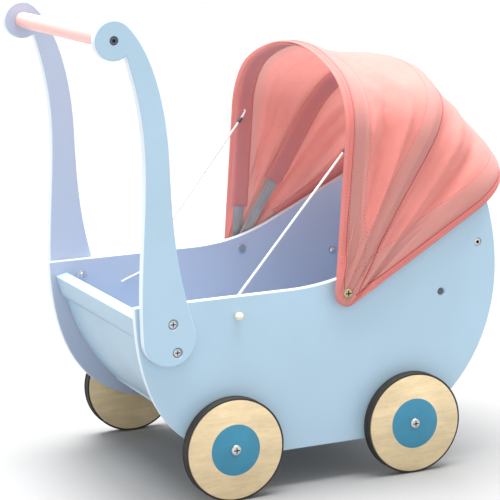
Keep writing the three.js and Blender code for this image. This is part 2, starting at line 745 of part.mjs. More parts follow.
for (const side of sides) {
  const cord = cordTube(cordRoute, 66).add(cordTube(cordTail, 8));
  placeSide('elastic_cord', cord, elastic, side);
  placeSide('cord_bead', bead(), beadCream, side, cordHoleX, cordHoleZ);
}

// ---------------------------------------------------------------- on its wheels

const extent = new THREE.Box3().setFromObject(pram);
pram.position.set(-(extent.min.x + extent.max.x) / 2, 0, axleHeight - axleUp);

export default pram;
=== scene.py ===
import json
import math

import bmesh
import bpy
from mathutils import Matrix, Vector, noise


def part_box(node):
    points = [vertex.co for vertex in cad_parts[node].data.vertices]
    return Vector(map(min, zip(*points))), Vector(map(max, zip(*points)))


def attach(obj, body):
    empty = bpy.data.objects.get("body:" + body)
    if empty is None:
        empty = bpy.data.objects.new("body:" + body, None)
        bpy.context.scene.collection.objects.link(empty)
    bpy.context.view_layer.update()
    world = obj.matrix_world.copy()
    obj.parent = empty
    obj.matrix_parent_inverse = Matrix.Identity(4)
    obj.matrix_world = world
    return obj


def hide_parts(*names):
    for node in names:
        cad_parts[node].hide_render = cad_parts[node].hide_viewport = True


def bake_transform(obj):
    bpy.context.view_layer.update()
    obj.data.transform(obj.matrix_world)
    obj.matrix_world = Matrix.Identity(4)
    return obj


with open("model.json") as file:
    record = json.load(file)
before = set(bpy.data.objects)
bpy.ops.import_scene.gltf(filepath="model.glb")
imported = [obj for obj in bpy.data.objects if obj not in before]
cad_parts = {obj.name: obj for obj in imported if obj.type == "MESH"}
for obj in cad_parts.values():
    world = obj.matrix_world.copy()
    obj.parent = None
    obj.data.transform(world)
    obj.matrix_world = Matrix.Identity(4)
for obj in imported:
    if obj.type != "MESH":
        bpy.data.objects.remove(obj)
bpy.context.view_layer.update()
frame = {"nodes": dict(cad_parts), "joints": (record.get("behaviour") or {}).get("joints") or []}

bl_info = {
    "name": "Wooden doll pram",
    "version": (1, 0, 0),
    "blender": (4, 5, 0),
    "location": "View3D > Sidebar > Pram",
    "description": "Finishes a wooden doll pram with painted boards, a cloth hood and cords",
    "category": "Object",
}

# ------------------------------------------------------------------ places from the frame

MM = 0.001
SIDES = (("right", -1), ("left", 1))
ENDS = ("foot", "head")
JOINTS = {joint["name"]: joint for joint in frame["joints"]}
PIVOT = Vector(JOINTS["hood_fold"]["pos_m"])
AXLES = {
    (side, end): Vector(JOINTS[f"{side}_{end}_wheel_spin"]["pos_m"])
    for side, _ in SIDES
    for end in ENDS
}
MIDDLE = (AXLES["right", "foot"] + AXLES["right", "head"]) / 2
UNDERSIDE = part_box("right_side_panel")[0].z
WHEEL_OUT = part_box("left_foot_wheel")[1].y
WHEEL_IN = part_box("left_foot_wheel")[0].y
WHEEL_RADIUS = (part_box("left_foot_wheel")[1].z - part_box("left_foot_wheel")[0].z) / 2
TYRE_RADIUS = (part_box("left_foot_tyre")[1].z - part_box("left_foot_tyre")[0].z) / 2
CLOTH_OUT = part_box("hood_canopy")[1].y

BOW_NODES = ("front_bow", "mid_bow", "rear_bow")
BOW_BODIES = {"front_bow": "front_bow_body", "mid_bow": "mid_bow_body", "rear_bow": "root"}
BOW_ANGLES = {"front_bow": math.radians(85), "mid_bow": math.radians(58),
              "rear_bow": math.radians(30)}
BOW_WIDTH = 13 * MM
BOW_THICKNESS = 1.5 * MM
BOW_CORNER = 70 * MM
BOW_TURN = math.radians(65)


def bow_half(node):
    """Half the bow's width over the outsides of its legs."""
    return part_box(node)[1].y


def bow_height(node):
    """From the pivot to the outside of the bow's crown."""
    angle = BOW_ANGLES[node]
    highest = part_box(node)[1].z - PIVOT.z
    return (highest - BOW_WIDTH / 2 * math.cos(angle)) / math.sin(angle)


BOW_HALVES = {node: bow_half(node) for node in BOW_NODES}
BOW_HEIGHTS = {node: bow_height(node) for node in BOW_NODES}


def place(forward, out, up, sign=1):
    """A point given in millimetres from between the axles and up from the panels' underside."""
    return Vector((MIDDLE.x + forward * MM, sign * out * MM, UNDERSIDE + up * MM))


# ------------------------------------------------------------------ settings


def size_property(name, description, default, low=0.0, high=10.0):
    return bpy.props.FloatProperty(name=name, description=description, default=default,
                                   min=low, max=high, unit="LENGTH", precision=5)


def colour_property(name, description, default):
    return bpy.props.FloatVectorProperty(name=name, description=description, size=3,
                                         default=default, min=0.0, max=1.0,
                                         subtype="COLOR")


class PramPaint(bpy.types.PropertyGroup):
    """Colours of the pram's finishes."""

    body: colour_property("Body", "Satin paint on the boards", (0.40, 0.565, 0.70))
    # Painted reflection: this violet tint on the boards' inner faces stands in for pink light
    # thrown back from the hood.
    inside: colour_property("Inside", "Paint on the boards' inner faces",
                            (0.46, 0.53, 0.67))
    # Painted highlight: this pale colour on the edge faces stands in for light falling on the
    # top edges.
    edge: colour_property("Edge", "Where the paint is thin along the edges",
                          (0.80, 0.87, 0.93))
    bar: colour_property("Bar", "Paint on the handle bar", (0.93, 0.50, 0.46))
    hub: colour_property("Hub", "Painted centre of each wheel", (0.026, 0.225, 0.36))
    birch: colour_property("Birch", "Clear-coated wheel discs", (0.76, 0.60, 0.36))
    cloth: colour_property("Cloth", "Hood cloth", (0.93, 0.37, 0.33))
    seam: colour_property("Seam", "Piping and shadowed tucks in the hood",
                          (0.50, 0.05, 0.06))
    # Painted shade: the grey-pink of cloth where a bow behind it blocks the light coming
    # through.
    shade: colour_property("Shade", "Cloth where a bow shows through it",
                           (0.76, 0.42, 0.39))
    strip: colour_property("Strip", "Coated steel of the bows", (0.42, 0.41, 0.39))


class PramBoards(bpy.types.PropertyGroup):
    """Sizes of the finish on the wooden pieces."""

    edge_round: size_property("Edge round", "Rounding of the boards' edges", 1.1 * MM)
    rod_round: size_property("Rod round", "Rounding at the ends of the bar", 0.8 * MM)
    hub_radius: size_property("Hub radius", "Painted centre of a wheel", 28.4 * MM)


class PramHood(bpy.types.PropertyGroup):
    """Sizes of the hood."""

    cloth_thickness: size_property("Cloth", "Thickness of the cloth", 0.45 * MM)
    sag: size_property("Sag", "How far the cloth falls in between the bows", 7.5 * MM)
    fold: size_property("Fold", "Height of the folds that run up from the pivots", 6.5 * MM)
    hem: size_property("Hem", "Cloth beyond the outer bows", 15 * MM)
    sleeve_width: size_property("Sleeve", "Width of the sleeve that holds a bow", 23 * MM)
    stitch_length: size_property("Stitch", "Length of one stitch", 2.6 * MM)
    stitch_pitch: size_property("Stitch pitch", "From one stitch to the next", 4.0 * MM)
    thread_radius: size_property("Thread", "Radius of the sewing thread", 0.28 * MM)


class PramCords(bpy.types.PropertyGroup):
    """Sizes of the elastic cords."""

    radius: size_property("Radius", "Radius of the elastic", 1.25 * MM)
    crimp_length: size_property("Crimp", "Length of the clip on the elastic", 7 * MM)
    crimp_back: size_property("Crimp back", "From the eyelet back to the clip", 17 * MM)


def paint():
    return bpy.context.scene.pram_paint


def boards():
    return bpy.context.scene.pram_boards


def hood():
    return bpy.context.scene.pram_hood


def cords():
    return bpy.context.scene.pram_cords


# ------------------------------------------------------------------ materials


class Nodes:
    """A short way to wire one material."""

    def __init__(self, name):
        self.material = bpy.data.materials.new(name)
        self.material.use_nodes = True
        self.tree = self.material.node_tree
        self.shader = self.tree.nodes["Principled BSDF"]
        self.output = self.tree.nodes["Material Output"]

    def add(self, kind, **settings):
        node = self.tree.nodes.new(kind)
        for key, value in settings.items():
            if key in node.inputs:
                node.inputs[key].default_value = value
            else:
                setattr(node, key, value)
        return node

    def link(self, source, target):
        self.tree.links.new(source, target)

    def set(self, **values):
        for key, value in values.items():
            self.shader.inputs[key.replace("_", " ")].default_value = value

    def coordinates(self, scale=(1, 1, 1)):
        source = self.add("ShaderNodeTexCoord")
        mapping = self.add("ShaderNodeMapping")
        mapping.inputs["Scale"].default_value = scale
        self.link(source.outputs["Object"], mapping.inputs["Vector"])
        return mapping.outputs["Vector"]

    def noise(self, vector, scale, detail=4.0, roughness=0.55):
        node = self.add("ShaderNodeTexNoise", Scale=scale, Detail=detail,
                        Roughness=roughness)
        self.link(vector, node.inputs["Vector"])
        return node.outputs["Fac"]

    def ramp(self, value, low, high, low_at=0.0, high_at=1.0):
        node = self.add("ShaderNodeValToRGB")
        first, last = node.color_ramp.elements
        first.position, last.position = low_at, high_at
        first.color = (*low, 1)
        last.color = (*high, 1)
        self.link(value, node.inputs["Fac"])
        return node.outputs["Color"]

    def mask(self, value, low_at, high_at):
        node = self.add("ShaderNodeMapRange", interpolation_type="SMOOTHSTEP")
        node.inputs["From Min"].default_value = low_at
        node.inputs["From Max"].default_value = high_at
        self.link(value, node.inputs["Value"])
        return node.outputs["Result"]

    def math(self, operation, first, second=0.0):
        node = self.add("ShaderNodeMath", operation=operation)
        for socket, value in zip(node.inputs, (first, second)):
            if isinstance(value, (int, float)):
                socket.default_value = value
            else:
                self.link(value, socket)
        return node.outputs["Value"]

    def mix(self, share, first, second, blend_type="MIX"):
        node = self.add("ShaderNodeMix", data_type="RGBA", blend_type=blend_type)
        for socket, value in zip((node.inputs[0], node.inputs[6], node.inputs[7]),
                                 (share, first, second)):
            if isinstance(value, bpy.types.NodeSocket):
                self.link(value, socket)
            elif isinstance(value, (int, float)):
                socket.default_value = value
            else:
                socket.default_value = (*value, 1)
        return node.outputs[2]

    def bump(self, height, strength, distance):
        node = self.add("ShaderNodeBump", Strength=strength, Distance=distance)
        self.link(height, node.inputs["Height"])
        return node.outputs["Normal"]

    def colour(self, source):
        self.link(source, self.shader.inputs["Base Color"])

    def roughness(self, value, low, high):
        node = self.add("ShaderNodeMapRange")
        node.inputs["To Min"].default_value = low
        node.inputs["To Max"].default_value = high
        self.link(value, node.inputs["Value"])
        self.link(node.outputs["Result"], self.shader.inputs["Roughness"])

    def normal(self, source):
        self.link(source, self.shader.inputs["Normal"])


def shaded(colour, factor):
    """The colour made darker or lighter by a factor."""
    return tuple(min(1.0, channel * factor) for channel in colour)


def painted_board(name, colour, inside, edge, inner_side):
    """Sprayed satin paint: soft roller texture, faint grain, a painted highlight that makes
    every face not facing sideways paler, and a painted reflection of the pink hood that turns
    the inner face, which points along inner_side of Y, a touch more violet."""
    m = Nodes(name)
    here = m.coordinates()
    cloud = m.noise(here, 9.0, 3.0)
    outer = m.ramp(cloud, shaded(colour, 0.965), shaded(colour, 1.03), 0.3, 0.7)
    normal = m.add("ShaderNodeTexCoord")
    parts = m.add("ShaderNodeSeparateXYZ")
    m.link(normal.outputs["Normal"], parts.inputs["Vector"])
    side_on = m.math("ABSOLUTE", parts.outputs["Y"])
    # Painted reflection: faces turned inwards are tinted violet, standing in for pink light from
    # the hood.
    hood_reflection_share = m.mask(m.math("MULTIPLY", parts.outputs["Y"], inner_side), 0.3, 0.9)
    base = m.mix(hood_reflection_share, outer, inside)
    # Painted highlight: faces not facing sideways take the pale edge colour, standing in for
    # light on the top edges.
    edge_highlight_share = m.math("MULTIPLY", m.mask(m.math("SUBTRACT", 1.0, side_on), 0.25, 0.8), 0.75)
    m.colour(m.mix(edge_highlight_share, base, edge))
    peel = m.noise(here, 900.0, 2.0)
    grain = m.noise(m.coordinates(scale=(0.12, 1, 1)), 420.0, 3.0)
    height = m.math("ADD", peel, m.math("MULTIPLY", grain, 0.6))
    m.normal(m.bump(height, 0.16, 0.12 * MM))
    m.roughness(m.noise(here, 60.0, 4.0), 0.34, 0.5)
    m.set(Coat_Weight=0.12, Coat_Roughness=0.3)
    return m.material


def painted_plain(name, colour):
    """The same paint on rails and inner boards, a touch rubbed."""
    m = Nodes(name)
    here = m.coordinates()
    m.colour(m.ramp(m.noise(here, 12.0, 4.0), shaded(colour, 0.95), shaded(colour, 1.05),
                    0.3, 0.7))
    grain = m.noise(m.coordinates(scale=(1, 0.08, 1)), 500.0, 3.0)
    m.normal(m.bump(m.math("ADD", grain, m.noise(here, 900.0, 2.0)), 0.15, 0.12 * MM))
    m.roughness(m.noise(here, 70.0, 4.0), 0.36, 0.52)
    m.set(Coat_Weight=0.1, Coat_Roughness=0.3)
    return m.material


def painted_rod(name, colour):
    """Satin pink over turned wood, with lathe rings and a grain that runs along the rod."""
    m = Nodes(name)
    here = m.coordinates()
    along = m.coordinates(scale=(1, 0.05, 1))
    m.colour(m.ramp(m.noise(along, 160.0, 5.0), shaded(colour, 0.93), shaded(colour, 1.05),
                    0.25, 0.75))
    m.normal(m.bump(m.noise(along, 700.0, 4.0), 0.2, 0.1 * MM))
    m.roughness(m.noise(here, 80.0, 3.0), 0.3, 0.46)
    m.set(Coat_Weight=0.25, Coat_Roughness=0.2)
    return m.material


def birch_face(name, colour):
    """Rotary-cut birch veneer under clear coat: long soft figure, flecks and fine pores."""
    m = Nodes(name)
    figure = m.coordinates(scale=(0.45, 1, 1.3))
    blotch = m.noise(figure, 38.0, 6.0, 0.65)
    streak = m.noise(m.coordinates(scale=(0.12, 1, 1)), 240.0, 4.0, 0.6)
    tone = m.math("ADD", m.math("MULTIPLY", blotch, 0.7), m.math("MULTIPLY", streak, 0.3))
    base = m.ramp(tone, shaded(colour, 0.72), shaded(colour, 1.14), 0.3, 0.7)
    flecks = m.mask(m.noise(m.coordinates(scale=(0.15, 1, 1)), 900.0, 2.0), 0.6, 0.75)
    m.colour(m.mix(m.math("MULTIPLY", flecks, 0.4), base, shaded(colour, 0.5)))
    m.normal(m.bump(m.noise(m.coordinates(scale=(0.1, 1, 1)), 800.0, 3.0), 0.15, 0.1 * MM))
    m.roughness(tone, 0.36, 0.48)
    m.set(Coat_Weight=0.35, Coat_Roughness=0.18)
    return m.material


def ply_rim(name, colour):
    """The rim of a disc, where the plies show as light and dark layers."""
    m = Nodes(name)
    here = m.coordinates()
    wave = m.add("ShaderNodeTexWave", Scale=110.0, Distortion=0.4, Detail=2.0,
                 wave_type="BANDS", bands_direction="Y")
    m.link(here, wave.inputs["Vector"])
    m.colour(m.ramp(wave.outputs["Fac"], shaded(colour, 0.5), shaded(colour, 0.95), 0.2, 0.7))
    m.normal(m.bump(m.noise(here, 900.0, 3.0), 0.3, 0.1 * MM))
    m.roughness(wave.outputs["Fac"], 0.55, 0.7)
    return m.material


def hub_paint(name, colour):
    """Screen-painted hub: flat colour with a trace of the veneer beneath."""
    m = Nodes(name)
    here = m.coordinates()
    m.colour(m.ramp(m.noise(here, 45.0, 4.0), shaded(colour, 0.9), shaded(colour, 1.08),
                    0.3, 0.7))
    m.normal(m.bump(m.noise(m.coordinates(scale=(0.1, 1, 1)), 700.0, 3.0), 0.12, 0.1 * MM))
    m.roughness(m.noise(here, 90.0, 3.0), 0.35, 0.5)
    m.set(Coat_Weight=0.2, Coat_Roughness=0.25)
    return m.material


def tyre_rubber(name):
    """Black band rubber with a dusty bloom on its ribs."""
    m = Nodes(name)
    here = m.coordinates()
    dust = m.mask(m.noise(here, 40.0, 5.0), 0.45, 0.75)
    m.colour(m.mix(m.math("MULTIPLY", dust, 0.3), (0.018, 0.015, 0.014),
                   (0.075, 0.065, 0.055)))
    m.normal(m.bump(m.noise(here, 1200.0, 3.0), 0.35, 0.12 * MM))
    m.roughness(dust, 0.55, 0.8)
    return m.material


def plated_metal(name, colour, low=0.2, high=0.42, scale=500.0):
    """Plated hardware with fine tool marks and a few dull patches."""
    m = Nodes(name)
    here = m.coordinates()
    marks = m.noise(m.coordinates(scale=(1, 0.2, 1)), scale, 4.0)
    m.colour(m.ramp(m.noise(here, 220.0, 3.0), shaded(colour, 0.82), shaded(colour, 1.1),
                    0.3, 0.7))
    m.normal(m.bump(marks, 0.18, 0.05 * MM))
    m.roughness(marks, low, high)
    m.set(Metallic=1.0)
    return m.material


def coated_strip(name, colour):
    """Grey coated spring steel, rubbed along its length."""
    m = Nodes(name)
    here = m.coordinates()
    rub = m.noise(here, 35.0, 6.0, 0.7)
    m.colour(m.ramp(rub, shaded(colour, 0.88), shaded(colour, 1.12), 0.3, 0.7))
    m.normal(m.bump(m.noise(here, 800.0, 3.0), 0.2, 0.06 * MM))
    m.roughness(rub, 0.4, 0.58)
    m.set(Metallic=0.35)
    return m.material


def moulded_nylon(name, colour):
    m = Nodes(name)
    here = m.coordinates()
    m.colour(m.ramp(m.noise(here, 80.0, 3.0), shaded(colour, 0.94), shaded(colour, 1.03)))
    m.normal(m.bump(m.noise(here, 900.0, 2.0), 0.12, 0.05 * MM))
    m.roughness(m.noise(here, 120.0, 2.0), 0.38, 0.5)
    m.set(Subsurface_Weight=0.15, Subsurface_Radius=(1.5 * MM, 1.4 * MM, 1.2 * MM))
    return m.material


def woven_cloth(name, colour, shade, doubled, see_through):
    """Plain-weave cotton on the sheet's own UV map, which is in metres of cloth: warp and
    weft show in colour and height, the hems beyond the seams take a deeper colour, painted
    shade greys the cloth where a bow lies behind it, and light comes through the sheet."""
    m = Nodes(name)
    uv = m.add("ShaderNodeUVMap", uv_map="cloth")
    weave = []
    thread_pitch = 0.9 * MM
    for direction in ("X", "Y"):
        threads = m.add("ShaderNodeTexWave", wave_type="BANDS", bands_direction=direction,
                        Scale=math.tau / (20 * thread_pitch), Distortion=0.6, Detail=1.0)
        threads.inputs["Detail Scale"].default_value = 40.0
        m.link(uv.outputs["UV"], threads.inputs["Vector"])
        weave.append(threads.outputs["Fac"])
    crossing = m.math("MULTIPLY", weave[0], weave[1])
    mapping = m.add("ShaderNodeMapping")
    mapping.inputs["Scale"].default_value = (1, 0.12, 1)
    m.link(uv.outputs["UV"], mapping.inputs["Vector"])
    slubs = m.noise(mapping.outputs["Vector"], 900.0, 3.0)
    fading = m.noise(m.coordinates(), 14.0, 4.0)
    base = m.ramp(fading, shaded(colour, 0.94), shaded(colour, 1.08), 0.3, 0.7)
    threads = m.ramp(crossing, (0.8, 0.76, 0.76), (1.0, 1.0, 1.0), 0.0, 0.6)
    woven = m.mix(1.0, base, threads, "MULTIPLY")
    woven = m.mix(m.math("MULTIPLY", m.mask(slubs, 0.5, 0.8), 0.25), woven,
                  shaded(colour, 1.25))
    # Painted shade: cloth over a bow is mixed towards the shade colour, standing in for the bow
    # blocking light through the sheer cloth.
    band = m.add("ShaderNodeAttribute", attribute_name="band")
    woven = m.mix(m.math("MULTIPLY", band.outputs["Fac"], 0.62), woven,
                  m.mix(1.0, shade, threads, "MULTIPLY"))
    hem = m.add("ShaderNodeAttribute", attribute_name="hem")
    woven = m.mix(m.math("MULTIPLY", hem.outputs["Fac"], 0.45), woven, doubled)
    m.colour(woven)
    height = m.math("ADD", crossing, m.math("MULTIPLY", slubs, 0.5))
    normal = m.bump(height, 0.35, 0.15 * MM)
    m.normal(normal)
    m.roughness(crossing, 0.92, 0.8)
    m.set(Sheen_Weight=0.25, Sheen_Roughness=0.5, Specular_IOR_Level=0.2)
    light_through = m.add("ShaderNodeBsdfTranslucent")
    m.link(m.mix(0.65, woven, (1.0, 0.88, 0.82)), light_through.inputs["Color"])
    m.link(normal, light_through.inputs["Normal"])
    both = m.add("ShaderNodeMixShader")
    both.inputs["Fac"].default_value = see_through
    m.link(m.shader.outputs["BSDF"], both.inputs[1])
    m.link(light_through.outputs["BSDF"], both.inputs[2])
    m.link(both.outputs["Shader"], m.output.inputs["Surface"])
    return m.material


def braided_elastic(name):
    """White braid over rubber: crossed diagonal yarns on the cord's own UV map."""
    m = Nodes(name)
    uv = m.add("ShaderNodeUVMap", uv_map="braid")
    yarns = []
    for turn in (math.radians(38), math.radians(-38)):
        mapping = m.add("ShaderNodeMapping")
        mapping.inputs["Rotation"].default_value = (0, 0, turn)
        m.link(uv.outputs["UV"], mapping.inputs["Vector"])
        wave = m.add("ShaderNodeTexWave", wave_type="BANDS", bands_direction="X",
                     Scale=160.0, Distortion=0.0)
        m.link(mapping.outputs["Vector"], wave.inputs["Vector"])
        yarns.append(wave.outputs["Fac"])
    braid = m.math("MAXIMUM", yarns[0], yarns[1])
    m.colour(m.ramp(braid, (0.68, 0.67, 0.66), (0.95, 0.95, 0.94), 0.2, 0.8))
    m.normal(m.bump(braid, 0.5, 0.15 * MM))
    m.roughness(braid, 0.85, 0.65)
    m.set(Sheen_Weight=0.1)
    return m.material


def sewing_thread(name, colour):
    m = Nodes(name)
    here = m.coordinates()
    twist = m.noise(here, 1500.0, 2.0)
    m.colour(m.ramp(twist, shaded(colour, 0.75), shaded(colour, 1.15)))
    m.normal(m.bump(twist, 0.4, 0.05 * MM))
    m.roughness(twist, 0.6, 0.8)
    return m.material


def studio_floor(name):
    m = Nodes(name)
    here = m.coordinates()
    m.colour(m.ramp(m.noise(here, 2.0, 2.0), (0.29, 0.29, 0.29), (0.3, 0.3, 0.3)))
    m.set(Roughness=0.9)
    return m.material


MATERIALS = {}


def material(key):
    """Makes each finish the first time it is asked for."""
    p = paint()
    makers = {
        "blue_board_right": lambda: painted_board("Pale blue board, right", p.body, p.inside,
                                                  p.edge, 1.0),
        "blue_board_left": lambda: painted_board("Pale blue board, left", p.body, p.inside,
                                                 p.edge, -1.0),
        "blue_plain": lambda: painted_plain("Pale blue rail", p.body),
        "pink_rod": lambda: painted_rod("Pale pink rod", p.bar),
        "birch": lambda: birch_face("Birch veneer", p.birch),
        "ply_rim": lambda: ply_rim("Birch ply rim", p.birch),
        "hub": lambda: hub_paint("Teal hub", p.hub),
        "rubber": lambda: tyre_rubber("Band rubber"),
        "steel": lambda: plated_metal("Zinc plate", (0.66, 0.67, 0.68)),
        # On the stud bolts this dark plate is painted shade, standing in for the shadow in their
        # counterbores.
        "dark_steel": lambda: plated_metal("Dark zinc plate", (0.13, 0.15, 0.18), 0.3, 0.5),
        "recess": lambda: plated_metal("Recess in shadow", (0.035, 0.035, 0.04), 0.5, 0.7),
        "brass": lambda: plated_metal("Worn brass plate", (0.50, 0.42, 0.24), 0.25, 0.45),
        "nylon": lambda: moulded_nylon("White nylon", (0.9, 0.9, 0.86)),
        "bead": lambda: moulded_nylon("Cream bead", (0.82, 0.76, 0.60)),
        "strip": lambda: coated_strip("Grey strip", p.strip),
        "cloth": lambda: woven_cloth("Coral cloth", p.cloth, p.shade, (0.84, 0.24, 0.23),
                                     0.38),
        "double_cloth": lambda: woven_cloth("Coral cloth, doubled", (0.95, 0.44, 0.42),
                                            p.shade, (0.95, 0.36, 0.35), 0.45),
        "piping": lambda: sewing_thread("Dark red piping", p.seam),
        "elastic": lambda: braided_elastic("White braided elastic"),
        "thread": lambda: sewing_thread("Coral thread", (0.62, 0.14, 0.14)),
        "floor": lambda: studio_floor("Studio floor"),
    }
    if key not in MATERIALS:
        MATERIALS[key] = makers[key]()
    return MATERIALS[key]


# ------------------------------------------------------------------ mesh helpers


def new_piece(name, bm, *finishes):
    """Turns a bmesh into a smooth-shaded object at the origin with its materials."""
    mesh = bpy.data.meshes.new(name)
    bm.to_mesh(mesh)
    bm.free()
    obj = bpy.data.objects.new(name, mesh)
    bpy.context.scene.collection.objects.link(obj)
    for finish in finishes:
        mesh.materials.append(material(finish))
    mesh.shade_smooth()
    return obj


def finish_piece(obj, body, slot_name, *nodes):
    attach(obj, body)
    if nodes:
        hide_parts(*nodes)
    return obj


def merged_copy(node):
    """A bmesh of a CAD node with its loose triangles joined and its flat faces whole."""
    bm = bmesh.new()
    bm.from_mesh(frame["nodes"][node].data)
    bmesh.ops.remove_doubles(bm, verts=bm.verts, dist=0.002 * MM)
    bmesh.ops.dissolve_limit(bm, angle_limit=math.radians(0.6), verts=bm.verts,
                             edges=bm.edges, use_dissolve_boundaries=False)
    return bm


def sharp_loops(bm, angle):
    """Sets of joined edges that turn more than an angle, with the length of each set."""
    sharp = {e for e in bm.edges
             if len(e.link_faces) == 2 and e.calc_face_angle(0.0) > angle}
    loops = []
    while sharp:
        stack = [sharp.pop()]
        found = []
        while stack:
            edge = stack.pop()
            found.append(edge)
            for vert in edge.verts:
                for other in vert.link_edges:
                    if other in sharp:
                        sharp.discard(other)
                        stack.append(other)
        loops.append((found, sum(e.calc_length() for e in found)))
    return loops


def spin_profile(bm, profile, steps, closed=True):
    """Turns a profile of (radius, y) points about the Y axis into a surface."""
    verts = [bm.verts.new((r, y, 0)) for r, y in profile]
    following = verts[1:] + verts[:1] if closed else verts[1:]
    edges = [bm.edges.new(pair) for pair in zip(verts, following)]
    bmesh.ops.spin(bm, geom=verts + edges, cent=(0, 0, 0), axis=(0, 1, 0),
                   angle=math.tau, steps=steps, use_merge=True, use_duplicate=False)


def weighted_copy(node, angle, weigh=lambda length: 1.0):
    """A merged copy of a CAD node whose sharp edges carry a weight for their rounding."""
    bm = merged_copy(node)
    weights = bm.edges.layers.float.new("bevel_weight_edge")
    for edges, length in sharp_loops(bm, angle):
        for edge in edges:
            edge[weights] = weigh(length)
    return bm


def add_rounding(obj, width, segments):
    rounding = obj.modifiers.new("Rounding", "BEVEL")
    rounding.limit_method = "WEIGHT"
    rounding.width = width
    rounding.segments = segments
    return rounding


def flatten_shading(obj):
    """Turns the corner normals towards the largest faces, so flat boards shade flat."""
    even = obj.modifiers.new("Even shading", "WEIGHTED_NORMAL")
    even.mode = "FACE_AREA"
    even.weight = 100
    even.keep_sharp = True


def rounded_board(node, name, width, finish, slot_name, body="root"):
    """A copy of a board whose long edges are rounded; the rims of its holes are eased."""
    outline_length = 120 * MM
    hole_ease = 0.25
    bm = weighted_copy(node, math.radians(35),
                       lambda length: 1.0 if length > outline_length else hole_ease)
    obj = new_piece(name, bm, finish)
    add_rounding(obj, width, 3).use_clamp_overlap = False
    flatten_shading(obj)
    return finish_piece(obj, body, slot_name, node)


# ------------------------------------------------------------------ wooden pieces


def add_wheel(side, sign, end):
    """One wheel disc: a turned ply disc with a painted centre, a bore and eased rims."""
    axle = AXLES[side, end]
    bore = 2.8 * MM
    face, back = WHEEL_OUT, WHEEL_IN
    ease = 0.9 * MM
    hub = boards().hub_radius
    paint_stands = 0.08 * MM
    profile = [
        (bore, face + paint_stands), (hub - 0.2 * MM, face + paint_stands),
        (hub, face), (WHEEL_RADIUS - ease, face),
        (WHEEL_RADIUS - ease * 0.3, face - ease * 0.3), (WHEEL_RADIUS, face - ease),
        (WHEEL_RADIUS, back + ease), (WHEEL_RADIUS - ease * 0.3, back + ease * 0.3),
        (WHEEL_RADIUS - ease, back), (bore, back),
    ]
    finishes = [2, 2, 0, 0, 1, 1, 1, 0, 0, 0]
    bm = bmesh.new()
    spin_profile(bm, profile, 96)
    bmesh.ops.recalc_face_normals(bm, faces=bm.faces)
    middles = [((a[0] + b[0]) / 2, (a[1] + b[1]) / 2)
               for a, b in zip(profile, profile[1:] + profile[:1])]
    for f in bm.faces:
        centre = f.calc_center_median()
        radius = math.hypot(centre.x, centre.z)
        nearest = min(range(len(middles)), key=lambda k: math.hypot(
            middles[k][0] - radius, middles[k][1] - centre.y))
        f.material_index = finishes[nearest]
        f.smooth = True
    mark_sharp(bm, math.radians(30))
    turn_out(bm, sign, axle)
    obj = new_piece(f"{side}_{end}_ply_disc", bm, "birch", "ply_rim", "hub")
    finish_piece(obj, f"{side}_{end}_wheel_body", "birch_wheel", f"{side}_{end}_wheel")


def mark_sharp(bm, angle):
    for edge in bm.edges:
        if len(edge.link_faces) == 2 and edge.calc_face_angle(0.0) > angle:
            edge.smooth = False


def turn_out(bm, sign, centre):
    """Puts a piece drawn about +Y at its centre, turned about for the right side."""
    turn = Matrix.Rotation(math.pi if sign < 0 else 0.0, 4, "Z")
    bmesh.ops.transform(bm, matrix=turn, verts=bm.verts)
    bmesh.ops.translate(bm, vec=(centre.x, 0, centre.z), verts=bm.verts)


def add_tyre(side, sign, end):
    """A thin moulded band with a rib at each edge and fine grooves between."""
    axle = AXLES[side, end]
    low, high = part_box(f"left_{end}_tyre")[0].y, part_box(f"left_{end}_tyre")[1].y
    seat = WHEEL_RADIUS + 0.25 * MM
    rib = 2.0 * MM
    groove_depth = 0.7 * MM
    soft = 0.35 * MM
    profile = [(seat, high - 0.1 * MM), (TYRE_RADIUS - soft, high),
               (TYRE_RADIUS, high - soft), (TYRE_RADIUS, high - rib + soft),
               (TYRE_RADIUS - groove_depth, high - rib)]
    lands = 3
    span = high - low - 2 * rib
    for k in range(lands):
        start = high - rib - span * (k + 0.25) / lands
        stop = high - rib - span * (k + 0.75) / lands
        profile += [(TYRE_RADIUS - groove_depth, start), (TYRE_RADIUS - soft, start - soft),
                    (TYRE_RADIUS - soft, stop + soft), (TYRE_RADIUS - groove_depth, stop)]
    profile += [(TYRE_RADIUS - groove_depth, low + rib), (TYRE_RADIUS, low + rib - soft),
                (TYRE_RADIUS, low + soft), (TYRE_RADIUS - soft, low),
                (seat, low + 0.1 * MM)]
    bm = bmesh.new()
    spin_profile(bm, profile, 96)
    bmesh.ops.recalc_face_normals(bm, faces=bm.faces)
    mark_sharp(bm, math.radians(40))
    turn_out(bm, sign, axle)
    obj = new_piece(f"{side}_{end}_rubber_band", bm, "rubber")
    finish_piece(obj, f"{side}_{end}_wheel_body", "tyre", f"{side}_{end}_tyre")


# ------------------------------------------------------------------ hardware


def round_head(seat, radius, height, recess, shank, end):
    """A domed screw head on a seat with its shank, turned about +Y, with a cut recess."""
    bm = bmesh.new()
    dome = [(0.0, seat + height), (radius * 0.45, seat + height * 0.97),
            (radius * 0.75, seat + height * 0.84), (radius * 0.93, seat + height * 0.6),
            (radius, seat + height * 0.3), (radius, seat), (shank, seat), (shank, end),
            (0.0, end)]
    spin_profile(bm, dome, 40, closed=False)
    bmesh.ops.remove_doubles(bm, verts=bm.verts, dist=0.001 * MM)
    bmesh.ops.recalc_face_normals(bm, faces=bm.faces)
    return cut_recess(bm, seat + height, radius, height, recess)


